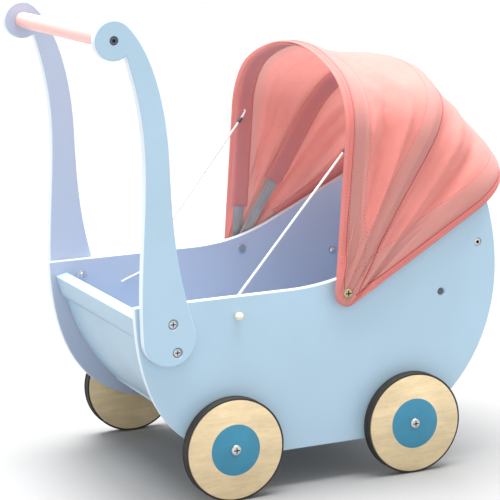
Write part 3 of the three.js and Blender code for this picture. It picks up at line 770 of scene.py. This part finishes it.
def cut_recess(bm, top, radius, height, recess):
    """Cuts a cross or hexagonal recess into a head, with Blender's boolean."""
    cutter = bmesh.new()
    if recess == "cross":
        for long_x in (True, False):
            wide = radius * 0.24
            length = radius * 1.15
            made = bmesh.ops.create_cube(cutter, size=1.0)
            scale = (length, height * 1.1, wide) if long_x else (wide, height * 1.1, length)
            bmesh.ops.scale(cutter, vec=scale, verts=made["verts"])
            bmesh.ops.translate(cutter, vec=(0, top, 0), verts=made["verts"])
    else:
        bmesh.ops.create_cone(cutter, cap_ends=True, segments=6, radius1=radius * 0.45,
                              radius2=radius * 0.45, depth=height * 1.2)
        bmesh.ops.rotate(cutter, cent=(0, 0, 0), verts=cutter.verts,
                         matrix=Matrix.Rotation(math.pi / 2, 3, "X"))
        bmesh.ops.translate(cutter, vec=(0, top, 0), verts=cutter.verts)
    return boolean_cut(bm, cutter)


def darken_recess(bm, top, radius):
    """The recess is unplated and full of shadow: its faces take the second material."""
    reach, lip, floor_depth, deepest = radius * 0.62, 0.1 * MM, 0.9 * MM, 4 * MM
    for f in bm.faces:
        middle = f.calc_center_median()
        inside = math.hypot(middle.x, middle.z) < reach
        steep = abs(f.normal.y) < 0.5
        if inside and top - deepest < middle.y < top - lip:
            if steep or middle.y < top - floor_depth:
                f.material_index = 1


def boolean_cut(bm, cutter):
    """Subtracts one bmesh from another and gives back a new bmesh."""
    objects = []
    for part, label in ((bm, "cut_body"), (cutter, "cut_tool")):
        mesh = bpy.data.meshes.new(label)
        part.to_mesh(mesh)
        part.free()
        obj = bpy.data.objects.new(label, mesh)
        bpy.context.scene.collection.objects.link(obj)
        objects.append(obj)
    body, tool = objects
    cut = body.modifiers.new("Cut", "BOOLEAN")
    cut.operation = "DIFFERENCE"
    cut.solver = "EXACT"
    cut.use_self = True
    cut.object = tool
    bpy.context.view_layer.update()
    evaluated = body.evaluated_get(bpy.context.evaluated_depsgraph_get())
    result = bmesh.new()
    result.from_mesh(evaluated.to_mesh())
    evaluated.to_mesh_clear()
    for obj in objects:
        mesh = obj.data
        bpy.data.objects.remove(obj)
        bpy.data.meshes.remove(mesh)
    bmesh.ops.remove_doubles(result, verts=result.verts, dist=0.002 * MM)
    return result


def box_centre(node):
    low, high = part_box(node)
    return (low + high) / 2


def outward_span(node):
    """How far out a piece of the left side begins and ends."""
    low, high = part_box(node)
    return low.y, high.y


def add_screw(side, sign, name, head_radius, head_height, recess, shank, finish, slot_name):
    inner, outer = outward_span(f"left_{name}")
    bm = round_head(outer - head_height, head_radius, head_height, recess, shank, inner)
    darken_recess(bm, outer, head_radius)
    mark_sharp(bm, math.radians(32))
    turn_out(bm, sign, box_centre(f"{side}_{name}"))
    obj = new_piece(f"{side}_{name}_plated", bm, finish, "recess")
    finish_piece(obj, "root", slot_name, f"{side}_{name}")


def add_nut(side, sign, name, flange_radius, boss_radius, boss_sides, bore):
    """A flanged nut on the inside of a panel, with a chamfered boss."""
    inner, outer = outward_span(f"left_{name}")
    flange = 1.4 * MM
    bm = bmesh.new()
    turned = [(bore, outer), (flange_radius - 0.3 * MM, outer),
              (flange_radius, outer - 0.3 * MM), (flange_radius, outer - flange + 0.3 * MM),
              (flange_radius - 0.4 * MM, outer - flange), (bore, outer - flange)]
    spin_profile(bm, turned, 36)
    ease = 0.35 * MM
    boss = [(bore, outer - flange), (boss_radius, outer - flange),
            (boss_radius, inner + ease), (boss_radius - ease, inner), (bore, inner)]
    spin_profile(bm, boss, boss_sides)
    bmesh.ops.recalc_face_normals(bm, faces=bm.faces)
    mark_sharp(bm, math.radians(32))
    turn_out(bm, sign, box_centre(f"{side}_{name}"))
    obj = new_piece(f"{side}_{name}_plated", bm, "steel")
    finish_piece(obj, "root", "steel", f"{side}_{name}")


# ------------------------------------------------------------------ hood shape


def arch_point(half, height, corner, along):
    """A point (y, h) of a bow's arch by length along it from the right foot, the way its
    surface faces there, and whether the point lies on a straight leg."""
    reach = half - corner
    crown = corner + reach / math.cos(BOW_TURN)
    top = height - crown + reach * math.tan(BOW_TURN)
    corner_length = corner * BOW_TURN
    crown_length = crown * (math.pi / 2 - BOW_TURN)
    total = 2 * (top + corner_length + crown_length)
    sign = -1 if along < total / 2 else 1
    s = along if sign < 0 else total - along
    if s <= top:
        return Vector((sign * half, s)), Vector((sign, 0)), s / top
    if s <= top + corner_length:
        a = (s - top) / corner
        y, h = reach + corner * math.cos(a), top + corner * math.sin(a)
        return Vector((sign * y, h)), Vector((sign * math.cos(a), math.sin(a))), 1.0
    a = BOW_TURN + (s - top - corner_length) / crown
    y, h = crown * math.cos(a), height - crown + crown * math.sin(a)
    return Vector((sign * y, h)), Vector((sign * math.cos(a), math.sin(a))), 1.0


def arch_length(half, height, corner):
    reach = half - corner
    crown = corner + reach / math.cos(BOW_TURN)
    top = height - crown + reach * math.tan(BOW_TURN)
    return 2 * (top + corner * BOW_TURN + crown * (math.pi / 2 - BOW_TURN))


CLOTH_RISE = CLOTH_OUT - BOW_HALVES["front_bow"]
CLOTH_CORNER = BOW_CORNER + CLOTH_RISE
FRONT_SHARE, MID_SHARE, REAR_SHARE = 0.06, 0.5, 0.94


def cloth_station(v):
    """The plane of the cloth at v, from front hem to rear hem: its angle, its offset ahead
    of the pivot, its crown height and how far it hangs between bows (0 at a bow to 1)."""
    front, mid, rear = (BOW_ANGLES[n] for n in BOW_NODES)
    heights = [BOW_HEIGHTS[n] + CLOTH_RISE for n in BOW_NODES]
    hem = hood().hem
    if v <= FRONT_SHARE:
        t = v / FRONT_SHARE
        return front, hem * (1 - t), heights[0] - 1.5 * MM * (1 - t) ** 2, 0.0
    if v <= MID_SHARE:
        t = (v - FRONT_SHARE) / (MID_SHARE - FRONT_SHARE)
        ease = t * t * (3 - 2 * t)
        return front + (mid - front) * t, 0.0, heights[0] + (heights[1] - heights[0]) * ease, \
            1.5 * math.sin(math.pi * t ** 0.75) ** 1.3
    if v <= REAR_SHARE:
        t = (v - MID_SHARE) / (REAR_SHARE - MID_SHARE)
        ease = t * t * (3 - 2 * t)
        return mid + (rear - mid) * t, 0.0, heights[1] + (heights[2] - heights[1]) * ease, \
            1.15 * math.sin(math.pi * t ** 0.8) ** 1.3
    t = (v - REAR_SHARE) / (1 - REAR_SHARE)
    return rear, -hem * t, heights[2] - 5 * MM * t ** 1.5, 0.0


# Folds drawn up from each pivot: where they start and end in v, how wide, how high, and
# how far up the arch they reach, as a share of the way to the crown.
FOLDS = {
    -1: [(0.20, 0.155, 0.03, 0.9, 0.62), (0.30, 0.245, 0.034, -1.0, 0.8),
         (0.40, 0.33, 0.026, 1.1, 0.7), (0.60, 0.57, 0.03, -0.7, 0.7),
         (0.74, 0.64, 0.032, 0.8, 0.85), (0.83, 0.76, 0.03, -1.0, 0.7)],
    1: [(0.16, 0.19, 0.03, -0.7, 0.7), (0.25, 0.29, 0.03, 0.9, 0.8),
        (0.36, 0.38, 0.03, -0.8, 0.7), (0.61, 0.65, 0.03, 0.8, 0.8),
        (0.72, 0.77, 0.03, -0.85, 0.8), (0.84, 0.83, 0.02, 0.5, 0.7)],
}


def cloth_point(u, v, lift=0.0):
    """A point of the hood's cloth, u across from right to left and v from hem to hem."""
    angle, ahead, crown, hang = cloth_station(v)
    total = arch_length(CLOTH_OUT, crown, CLOTH_CORNER)
    (y, h), face, leg = arch_point(CLOTH_OUT, crown, CLOTH_CORNER, u * total)
    along, up = math.cos(angle), math.sin(angle)
    x, z = h * along - ahead * up, h * up + ahead * along
    if leg < 1:
        hem = hood().hem
        turn = BOW_ANGLES["front_bow"] + math.pi / 2 \
            + (BOW_ANGLES["rear_bow"] - BOW_ANGLES["front_bow"] + math.pi) * v
        top = h / leg if leg > 1e-6 else 0.0
        if top == 0.0:
            reach = CLOTH_OUT - CLOTH_CORNER
            top = crown - CLOTH_CORNER - reach / math.cos(BOW_TURN) \
                + reach * math.tan(BOW_TURN)
        top_x, top_z = top * along - ahead * up, top * up + ahead * along
        x = hem * math.cos(turn) * (1 - leg) + top_x * leg
        z = hem * math.sin(turn) * (1 - leg) + top_z * leg
    side = -1 if u < 0.5 else 1
    climb = min(1.0, 2 * min(u, 1 - u))
    free = min(1.0, max(0.0, (climb - 0.06) / 0.2))
    fullness = 1.0 if climb > 0.5 else 0.55 + 0.45 * climb / 0.5
    push = -hood().sag * hang * free * fullness
    for low, high, width, height, reach in FOLDS[side]:
        middle = low + (high - low) * climb
        rise = math.sin(min(1.0, climb / reach) * math.pi) ** 0.8 if climb < reach else 0.0
        spread = width * (0.7 + 0.6 * climb)
        push += hood().fold * height * rise * math.exp(-((v - middle) / spread) ** 2)
    ripple = noise.noise(Vector((u * 23.0, v * 17.0, 4.2)))
    fine = noise.noise(Vector((u * 61.0, v * 53.0, 9.1)))
    push += (ripple * 1.1 * MM + fine * 0.35 * MM) * free * (0.25 + hang)
    outward = Vector((face.y * along, face.x, face.y * up))
    point = PIVOT + Vector((x, y, z))
    for node in BOW_NODES:
        beside = abs(ahead_of(node, point)) - BOW_WIDTH / 2 - 1.5 * MM
        gap = CLOTH_OUT - BOW_HALVES[node] - hood().cloth_thickness - 0.5 * MM
        push = max(push, -gap - max(0.0, beside) * 0.55)
    seam = 0.0
    for node, offset in SEAMS.items():
        seam = max(seam, math.exp(-((ahead_of(node, point) - offset) / (1.6 * MM)) ** 2))
    return point + outward * (push - 0.5 * MM * seam * free + lift)


# Seams and sleeves of each bow, in metres ahead of the bow's own plane.
SEAMS = {"front_bow": 4.5 * MM, "mid_bow": -11 * MM, "rear_bow": -7.5 * MM}
SLEEVE_STARTS = {"front_bow": 50 * MM, "mid_bow": 91 * MM, "rear_bow": 63 * MM}
SLEEVES = {"front_bow": (-18 * MM, 4 * MM), "mid_bow": (-10.5 * MM, 12 * MM),
           "rear_bow": (-7 * MM, 15 * MM)}


def ahead_of(node, point):
    """How far a point lies ahead of a bow's plane, seen along the pivot."""
    angle = BOW_ANGLES[node]
    away = point - PIVOT
    return away.z * math.cos(angle) - away.x * math.sin(angle)


def cloth_marks(point):
    """How much painted shade of a bow behind the cloth falls at a point, and how much it is
    hemmed.
    """
    soft = 1.2 * MM
    band = 0.0
    for node, (low, high) in SLEEVES.items():
        there = ahead_of(node, point)
        band = max(band, min(1.0, max(0.0, 0.5 + min(there - low, high - there) / soft)))
    front = ahead_of("front_bow", point) - SEAMS["front_bow"]
    rear = SEAMS["rear_bow"] - ahead_of("rear_bow", point)
    hem = min(1.0, max(0.0, 0.5 + max(front, rear) / soft))
    return band, hem


def sheet_from(point, across, along, width, length, marks):
    """A sheet of cloth over a grid, with its UV map in metres and its seam attributes."""
    bm = bmesh.new()
    uv_layer = bm.loops.layers.uv.new("cloth")
    bow_shade_layer = bm.verts.layers.float.new("band")
    hem_layer = bm.verts.layers.float.new("hem")
    bmesh.ops.create_grid(bm, x_segments=across, y_segments=along, size=0.5)
    shares = {vert: (vert.co.x + 0.5, vert.co.y + 0.5) for vert in bm.verts}
    for f in bm.faces:
        for loop in f.loops:
            u, v = shares[loop.vert]
            loop[uv_layer].uv = (u * width, v * length)
    for vert, (u, v) in shares.items():
        vert.co = point(u, v)
        vert[bow_shade_layer], vert[hem_layer] = marks(vert.co)
    return bm


def thicken(obj, thickness, offset=-1.0):
    solid = obj.modifiers.new("Thickness", "SOLIDIFY")
    solid.thickness = thickness
    solid.offset = offset
    solid.use_even_offset = False
    return solid


def apply_modifiers(obj):
    """Bakes an object's modifiers into its mesh."""
    bpy.context.view_layer.update()
    evaluated = obj.evaluated_get(bpy.context.evaluated_depsgraph_get())
    mesh = bpy.data.meshes.new_from_object(evaluated)
    old = obj.data
    obj.modifiers.clear()
    obj.data = mesh
    mesh.name = obj.name
    bpy.data.meshes.remove(old)


def blend_line():
    """Two points 110 mm either side of the pivot, on the line square to the mid bow's plane."""
    across = BOW_ANGLES["mid_bow"] + math.pi / 2
    half_range = 110 * MM
    step = Vector((math.cos(across), 0, math.sin(across))) * half_range
    return PIVOT - step, PIVOT + step


def fold_with_hood(obj):
    start, end = blend_line()
    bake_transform(obj)
    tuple(start)
    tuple(end)


def add_stitch(bm, start, stop, radius):
    """One plump stitch between two points."""
    along = stop - start
    made = bmesh.ops.create_uvsphere(bm, u_segments=6, v_segments=4, radius=1.0)
    turn = along.to_track_quat("Z", "Y").to_matrix().to_4x4()
    shape = Matrix.Diagonal((radius, radius, along.length / 2, 1))
    bmesh.ops.transform(bm, matrix=Matrix.Translation((start + stop) / 2) @ turn @ shape,
                        verts=made["verts"])


# ------------------------------------------------------------------ operators


class PRAM_OT_stage(bpy.types.Operator):
    """Adds the camera, a pale floor and soft studio light"""

    bl_idname = "pram.stage"
    bl_label = "Studio"

    def execute(self, context):
        scene = context.scene
        data = bpy.data.cameras.new("pram_camera")
        data.lens, data.sensor_width, data.clip_end = 151.3, 36.0, 20.0
        camera = bpy.data.objects.new("pram_camera", data)
        scene.collection.objects.link(camera)
        yaw, pitch, roll = math.radians(23.776), math.radians(11.278), math.radians(-1.342)
        camera.location = place(-966.97, -2160.1, 709.75) - Vector((0, 0, UNDERSIDE))
        camera.rotation_euler = (
            Matrix.Rotation(-yaw, 3, "Z") @ Matrix.Rotation(math.pi / 2 - pitch, 3, "X")
            @ Matrix.Rotation(roll, 3, "Z")).to_euler()
        scene.camera = camera
        bm = bmesh.new()
        floor_reach = 6.0
        bmesh.ops.create_grid(bm, x_segments=1, y_segments=1, size=floor_reach)
        floor = new_piece("studio_floor", bm, "floor")
        aimed_at = Vector((0, 0, 0.25))
        # name, kind, place, angle or size, power
        lights = (
            ("sky_light", "SUN", (0.25, 0.45, 4.0), math.radians(50), 7.6),
            ("front_light", "AREA", (-1.6, -2.0, 1.0), 1.2, 2.0),
            ("back_light", "AREA", (0.7, 1.9, 1.4), 1.4, 14.0),
        )
        for name, kind, spot, size, power in lights:
            light = bpy.data.lights.new(name, kind)
            light.energy = power
            if kind == "SUN":
                light.angle = size
            else:
                light.shape = "DISK"
                light.size = size
            lamp = bpy.data.objects.new(name, light)
            lamp.location = spot
            aim = aimed_at - Vector(spot)
            lamp.rotation_euler = aim.to_track_quat("-Z", "Y").to_euler()
            scene.collection.objects.link(lamp)
        world = bpy.data.worlds.new("studio_world")
        world.use_nodes = True
        background = world.node_tree.nodes["Background"]
        background.inputs["Color"].default_value = (1.0, 1.0, 1.0, 1)
        background.inputs["Strength"].default_value = 1.0
        scene.world = world
        scene.view_settings.view_transform = "Standard"
        return {"FINISHED"}


class PRAM_OT_body_boards(bpy.types.Operator):
    """Adds the side panels, rails, floor and bent liners with rounded painted edges"""

    bl_idname = "pram.body_boards"
    bl_label = "Body boards"

    def execute(self, context):
        width = boards().edge_round
        for side, _ in SIDES:
            rounded_board(f"{side}_side_panel", f"{side}_painted_panel", width,
                          f"blue_board_{side}", "blue_paint")
        for node, name in (("foot_rail", "foot_cross_rail"), ("head_rail", "head_cross_rail"),
                           ("floor_board", "cradle_floor_board")):
            rounded_board(node, name, width, "blue_plain", "blue_paint")
        for end in ENDS:
            rounded_board(f"{end}_liner", f"{end}_bent_liner", width * 0.5, "blue_plain",
                          "blue_paint")
        return {"FINISHED"}


class PRAM_OT_handle(bpy.types.Operator):
    """Adds the two curved handle sides and the painted bar between them"""

    bl_idname = "pram.handle"
    bl_label = "Push handle"

    def execute(self, context):
        for side, _ in SIDES:
            rounded_board(f"{side}_handle_side", f"{side}_curved_handle_side",
                          boards().edge_round * 1.4, f"blue_board_{side}", "blue_paint")
        rounded_board("handle_bar", "pink_grip_bar", boards().rod_round, "pink_rod",
                      "pink_rod")
        return {"FINISHED"}


class PRAM_OT_wheels(bpy.types.Operator):
    """Adds four ply discs with painted hubs and their rubber bands"""

    bl_idname = "pram.wheels"
    bl_label = "Wheels"

    def execute(self, context):
        for side, sign in SIDES:
            for end in ENDS:
                add_wheel(side, sign, end)
                add_tyre(side, sign, end)
        return {"FINISHED"}


class PRAM_OT_hardware(bpy.types.Operator):
    """Adds the screws, bolts and nuts"""

    bl_idname = "pram.hardware"
    bl_label = "Hardware"

    def execute(self, context):
        for side, sign in SIDES:
            for end in ENDS:
                add_screw(side, sign, f"{end}_axle_bolt", 5.8 * MM, 2.6 * MM, "cross",
                          2.5 * MM, "steel", "steel")
                add_nut(side, sign, f"{end}_axle_nut", 7.0 * MM, 5.0 * MM, 6, 2.8 * MM)
            for level in ("upper", "lower"):
                add_screw(side, sign, f"{level}_handle_bolt", 4.8 * MM, 2.8 * MM, "cross",
                          2.5 * MM, "steel", "steel")
                add_nut(side, sign, f"{level}_handle_nut", 6.2 * MM, 3.9 * MM, 24, 2.8 * MM)
            for name, finish in (("bar_bolt", "dark_steel"), ("head_rail_bolt", "steel")):
                add_screw(side, sign, name, 4.6 * MM, 1.8 * MM, "hex", 2.5 * MM, finish,
                          "dark_steel")
            add_screw(side, sign, "pivot_screw", 5.6 * MM, 2.5 * MM, "cross", 2.0 * MM,
                      "brass", "brass_screw")
            # The stud bolt's dark finish is painted shade: it stands in for the shadow in the
            # counterbore round its head.
            for name, finish in (("stud_bolt", "dark_steel"), ("stud_cap_nut", "steel"),
                                 ("pivot_sleeve_nut", "steel"), ("pivot_washer", "nylon"),
                                 ("foot_wheel_spacer", "nylon"),
                                 ("head_wheel_spacer", "nylon")):
                slot_name = {"stud_bolt": "dark_steel", "pivot_washer": "nylon",
                             "foot_wheel_spacer": "nylon",
                             "head_wheel_spacer": "nylon"}.get(name, "steel")
                turned_copy(f"{side}_{name}", finish, slot_name)
        return {"FINISHED"}


def turned_copy(node, finish, slot_name):
    """A small turned CAD piece with eased edges and smooth shading."""
    obj = new_piece(f"{node}_eased", weighted_copy(node, math.radians(50)), finish)
    add_rounding(obj, 0.18 * MM, 2).harden_normals = True
    return finish_piece(obj, "root", slot_name, node)


class PRAM_OT_bows(bpy.types.Operator):
    """Adds the three flat strip bows"""

    bl_idname = "pram.bows"
    bl_label = "Hood bows"

    def execute(self, context):
        for node in BOW_NODES:
            obj = new_piece(f"{node}_strip", weighted_copy(node, math.radians(50)), "strip")
            add_rounding(obj, 0.25 * MM, 2).harden_normals = True
            finish_piece(obj, BOW_BODIES[node], "bow_strip", node)
        return {"FINISHED"}


class PRAM_OT_hood_cloth(bpy.types.Operator):
    """Adds the hood's cloth, its bow sleeves and its stitching"""

    bl_idname = "pram.hood_cloth"
    bl_label = "Hood cloth"

    def execute(self, context):
        width = arch_length(CLOTH_OUT, BOW_HEIGHTS["mid_bow"], CLOTH_CORNER)
        crown = [cloth_point(0.5, k / 60) for k in range(61)]
        length = sum((b - a).length for a, b in zip(crown, crown[1:]))
        bm = sheet_from(cloth_point, 180, 130, width, length, cloth_marks)
        bmesh.ops.reverse_faces(bm, faces=bm.faces)
        area = sum(f.calc_area() for f in bm.faces)
        cloth = new_piece("hood_cloth", bm, "cloth")
        thicken(cloth, hood().cloth_thickness)
        apply_modifiers(cloth)
        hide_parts("hood_canopy")
        fold_with_hood(cloth)
        sewn = [add_stitches(), *add_piping()]
        sleeves = [add_sleeve(node, width) for node in BOW_NODES]
        return {"FINISHED"}


def share_ahead(u, node, offset):
    """The v at which the cloth's line u lies an offset ahead of a bow's plane."""
    low, high = 0.0, 1.0
    for _ in range(13):
        middle = (low + high) / 2
        if ahead_of(node, cloth_point(u, middle)) > offset:
            low = middle
        else:
            high = middle
    return (low + high) / 2


def row_ahead(node, offset):
    count = 96
    known = [share_ahead(0.01 + 0.98 * k / count, node, offset) for k in range(count + 1)]

    def look_up(u):
        place_in_row = min(count - 1e-6, max(0.0, (u - 0.01) / 0.98 * count))
        k = int(place_in_row)
        return known[k] + (known[k + 1] - known[k]) * (place_in_row - k)

    return look_up


def add_stitches():
    """Rows of stitches along the hems and sleeves, on the outside of the cloth."""
    settings = hood()
    rows = [("front_bow", 9.5 * MM), ("front_bow", 2.8 * MM), ("front_bow", -18.5 * MM),
            ("mid_bow", 13 * MM), ("mid_bow", -12.6 * MM), ("rear_bow", 15.5 * MM),
            ("rear_bow", -11.5 * MM)]
    bm = bmesh.new()
    total = arch_length(CLOTH_OUT, BOW_HEIGHTS["mid_bow"], CLOTH_CORNER)
    count = int(total / settings.stitch_pitch)
    for node, offset in rows:
        row = row_ahead(node, offset)
        for k in range(9, count - 9):
            start = k * settings.stitch_pitch / total
            stop = start + settings.stitch_length / total
            ends = [cloth_point(u, row(u), lift=settings.thread_radius * 0.3)
                    for u in (start, stop)]
            add_stitch(bm, *ends, settings.thread_radius)
    stitches = new_piece("hood_stitching", bm, "thread")
    fold_with_hood(stitches)
    return stitches


def add_piping():
    """The dark red lines where the panels of cloth are joined behind each bow."""
    seams = []
    for node, offset in SEAMS.items():
        row = row_ahead(node, offset)
        route = []
        for k in range(241):
            u = 0.02 + 0.96 * k / 240
            route.append(cloth_point(u, row(u), lift=0.15 * MM))
        radius = (0.28 if node == "front_bow" else 0.5) * MM
        seam = cord_tube(f"{node}_piping", route, radius, "piping", sides=6)
        fold_with_hood(seam)
        seams.append(seam)
    return seams


def add_sleeve(node, width):
    """The inner half of a bow's sleeve: a doubled strip that holds the bow to the cloth."""
    angle = BOW_ANGLES[node]
    half, height = BOW_HALVES[node], BOW_HEIGHTS[node]
    below = BOW_THICKNESS + 0.7 * MM
    wide = hood().sleeve_width
    start_height = SLEEVE_STARTS[node]
    corner = BOW_CORNER - below
    total = arch_length(half - below, height - below, corner)
    first = start_height / total
    body = BOW_BODIES[node]

    def point(u, v):
        along = (first + (1 - 2 * first) * u) * total
        (y, h), face, _ = arch_point(half - below, height - below, corner, along)
        across = (0.5 - v) * wide
        edge = abs(2 * v - 1)
        lift = below * 0.75 * max(0.0, (edge - 0.62) / 0.38) ** 1.5
        pucker = 0.25 * MM * noise.noise(Vector((u * 90.0, v * 3.0, angle)))
        x = h * math.cos(angle) - across * math.sin(angle)
        z = h * math.sin(angle) + across * math.cos(angle)
        outward = Vector((face.y * math.cos(angle), face.x, face.y * math.sin(angle)))
        return PIVOT + Vector((x, y, z)) + outward * (lift + pucker)

    bm = sheet_from(point, 150, 14, width, wide,
                    lambda point: (0.0, 0.6))
    bmesh.ops.reverse_faces(bm, faces=bm.faces)
    sleeve = new_piece(f"{node}_sleeve", bm, "double_cloth")
    thicken(sleeve, hood().cloth_thickness)
    apply_modifiers(sleeve)
    return finish_piece(sleeve, body, "hood_cloth")


CORD_ROUTE = [
    (-94.6, 149.5, 158), (-94.6, 142, 158), (-94.6, 135.5, 158), (-94.4, 131, 159.4),
    (-93.2, 129, 163.6), (-90.2, 130.3, 172), (-86.6, 132.3, 180), (-65.6, 133.9, 204.8),
    (-44.6, 135.4, 229.6), (-23.6, 136.9, 254.4), (-2.6, 138.4, 279.1), (18.4, 140, 303.9),
    (36, 141.3, 324.6), (42.6, 142.4, 332.4), (46, 144.6, 336.4), (47.1, 147.4, 337.8),
    (47.1, 150.2, 337.8),
]
CORD_TAIL = [
    (-94.5, 132.6, 158.5), (-98.5, 131.1, 157.4), (-106, 131.5, 154.4), (-116, 132.2, 150.6),
    (-125, 132, 147),
]


def smooth_route(points, step):
    """A Catmull-Rom line through the points, at even steps."""
    fine = []
    padded = [points[0] * 2 - points[1], *points, points[-1] * 2 - points[-2]]
    for a, b, c, d in zip(padded, padded[1:], padded[2:], padded[3:]):
        for k in range(12):
            t = k / 12
            fine.append(0.5 * (2 * b + (c - a) * t + (2 * a - 5 * b + 4 * c - d) * t ** 2
                               + (3 * b - a - 3 * c + d) * t ** 3))
    fine.append(points[-1])
    route = [fine[0]]
    gone = 0.0
    for a, b in zip(fine, fine[1:]):
        gone += (b - a).length
        if gone >= step:
            route.append(b)
            gone = 0.0
    if (route[-1] - fine[-1]).length > step * 0.3:
        route.append(fine[-1])
    else:
        route[-1] = fine[-1]
    return route


def cord_tube(name, route, radius, finish, sides=12):
    """A round tube on a route, with its braid UV map in metres."""
    bm = bmesh.new()
    uv_layer = bm.loops.layers.uv.new("braid")
    first = None
    rings = []
    gone = [0.0]
    for i, point in enumerate(route):
        ahead = route[min(i + 1, len(route) - 1)]
        behind = route[max(i - 1, 0)]
        direction = (ahead - behind).normalized()
        if first is None:
            first = direction.orthogonal().normalized()
        first = (first - direction * first.dot(direction)).normalized()
        second = direction.cross(first)
        rings.append([bm.verts.new(point + radius * (
            first * math.cos(math.tau * k / sides) + second * math.sin(math.tau * k / sides)))
            for k in range(sides)])
        if i:
            gone.append(gone[-1] + (point - route[i - 1]).length)
    girth = math.tau * radius
    for i, (a, b) in enumerate(zip(rings, rings[1:])):
        for k in range(sides):
            f = bm.faces.new((a[k], a[(k + 1) % sides], b[(k + 1) % sides], b[k]))
            spots = ((gone[i], k), (gone[i], k + 1), (gone[i + 1], k + 1), (gone[i + 1], k))
            for loop, (length, turn) in zip(f.loops, spots):
                loop[uv_layer].uv = (length, turn * girth / sides)
    bm.faces.new(list(reversed(rings[0])))
    bm.faces.new(rings[-1])
    return new_piece(name, bm, finish)


class PRAM_OT_cords(bpy.types.Operator):
    """Adds the two elastic cords that hold the hood open, their beads and clips"""

    bl_idname = "pram.cords"
    bl_label = "Elastic cords"

    def execute(self, context):
        radius = cords().radius
        for side, sign in SIDES:
            route = smooth_route([place(*p, sign) for p in CORD_ROUTE], 2.2 * MM)
            cord = cord_tube(f"{side}_hood_elastic", route, radius, "elastic")
            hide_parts(f"{side}_elastic_cord")
            fold_with_hood(cord)
            tail_route = smooth_route([place(*p, sign) for p in CORD_TAIL], 2.0 * MM)
            tail = cord_tube(f"{side}_elastic_tail", tail_route, radius * 0.9, "elastic")
            finish_piece(tail, "root", "elastic")
            self.add_crimp(side, route)
            bead = turned_copy(f"{side}_cord_bead", "bead", "bead")
            bead.modifiers["Rounding"].width = 0.5 * MM
        return {"FINISHED"}

    def add_crimp(self, side, route):
        """The small metal clip that closes the elastic's loop near the bow."""
        spot, direction = self.from_end(route, cords().crimp_back)
        bm = bmesh.new()
        bmesh.ops.create_cone(bm, cap_ends=True, segments=20, radius1=2.1 * MM,
                              radius2=2.1 * MM, depth=cords().crimp_length)
        bmesh.ops.bevel(bm, geom=[e for e in bm.edges if e.calc_face_angle(0.0) > 1.0],
                        offset=0.4 * MM, segments=2, profile=0.5, affect="EDGES",
                        material=-1)
        turn = direction.to_track_quat("Z", "Y").to_matrix().to_4x4()
        bmesh.ops.transform(bm, matrix=Matrix.Translation(spot) @ turn, verts=bm.verts)
        crimp = new_piece(f"{side}_elastic_clip", bm, "dark_steel")
        fold_with_hood(crimp)

    def from_end(self, route, back):
        gone = 0.0
        for a, b in zip(route[::-1], route[-2::-1]):
            gone += (b - a).length
            if gone >= back:
                return b, (a - b).normalized()
        return route[0], (route[1] - route[0]).normalized()


class PRAM_PT_panel(bpy.types.Panel):
    """Lists the pram's pieces and finishes"""

    bl_label = "Doll pram"
    bl_idname = "PRAM_PT_panel"
    bl_space_type = "VIEW_3D"
    bl_region_type = "UI"
    bl_category = "Pram"

    def draw(self, context):
        layout = self.layout
        for name in OPERATORS:
            layout.operator(f"pram.{name}")
        for group in (paint(), boards(), hood(), cords()):
            box = layout.box()
            for prop in group.bl_rna.properties:
                if prop.identifier not in {"rna_type", "name"}:
                    box.prop(group, prop.identifier)


OPERATORS = ("stage", "cords", "body_boards", "handle", "wheels", "hardware", "bows",
             "hood_cloth")
GROUPS = {"pram_paint": PramPaint, "pram_boards": PramBoards, "pram_hood": PramHood,
          "pram_cords": PramCords}
CLASSES = (*GROUPS.values(), PRAM_OT_stage, PRAM_OT_body_boards, PRAM_OT_handle,
           PRAM_OT_wheels, PRAM_OT_hardware, PRAM_OT_bows, PRAM_OT_hood_cloth,
           PRAM_OT_cords, PRAM_PT_panel)


def register():
    for cls in CLASSES:
        bpy.utils.register_class(cls)
    for name, cls in GROUPS.items():
        setattr(bpy.types.Scene, name, bpy.props.PointerProperty(type=cls))


def unregister():
    for name in GROUPS:
        delattr(bpy.types.Scene, name)
    for cls in reversed(CLASSES):
        bpy.utils.unregister_class(cls)


def main():
    register()
    for name in OPERATORS:
        getattr(bpy.ops.pram, name)()


if __name__ == "__main__":
    main()
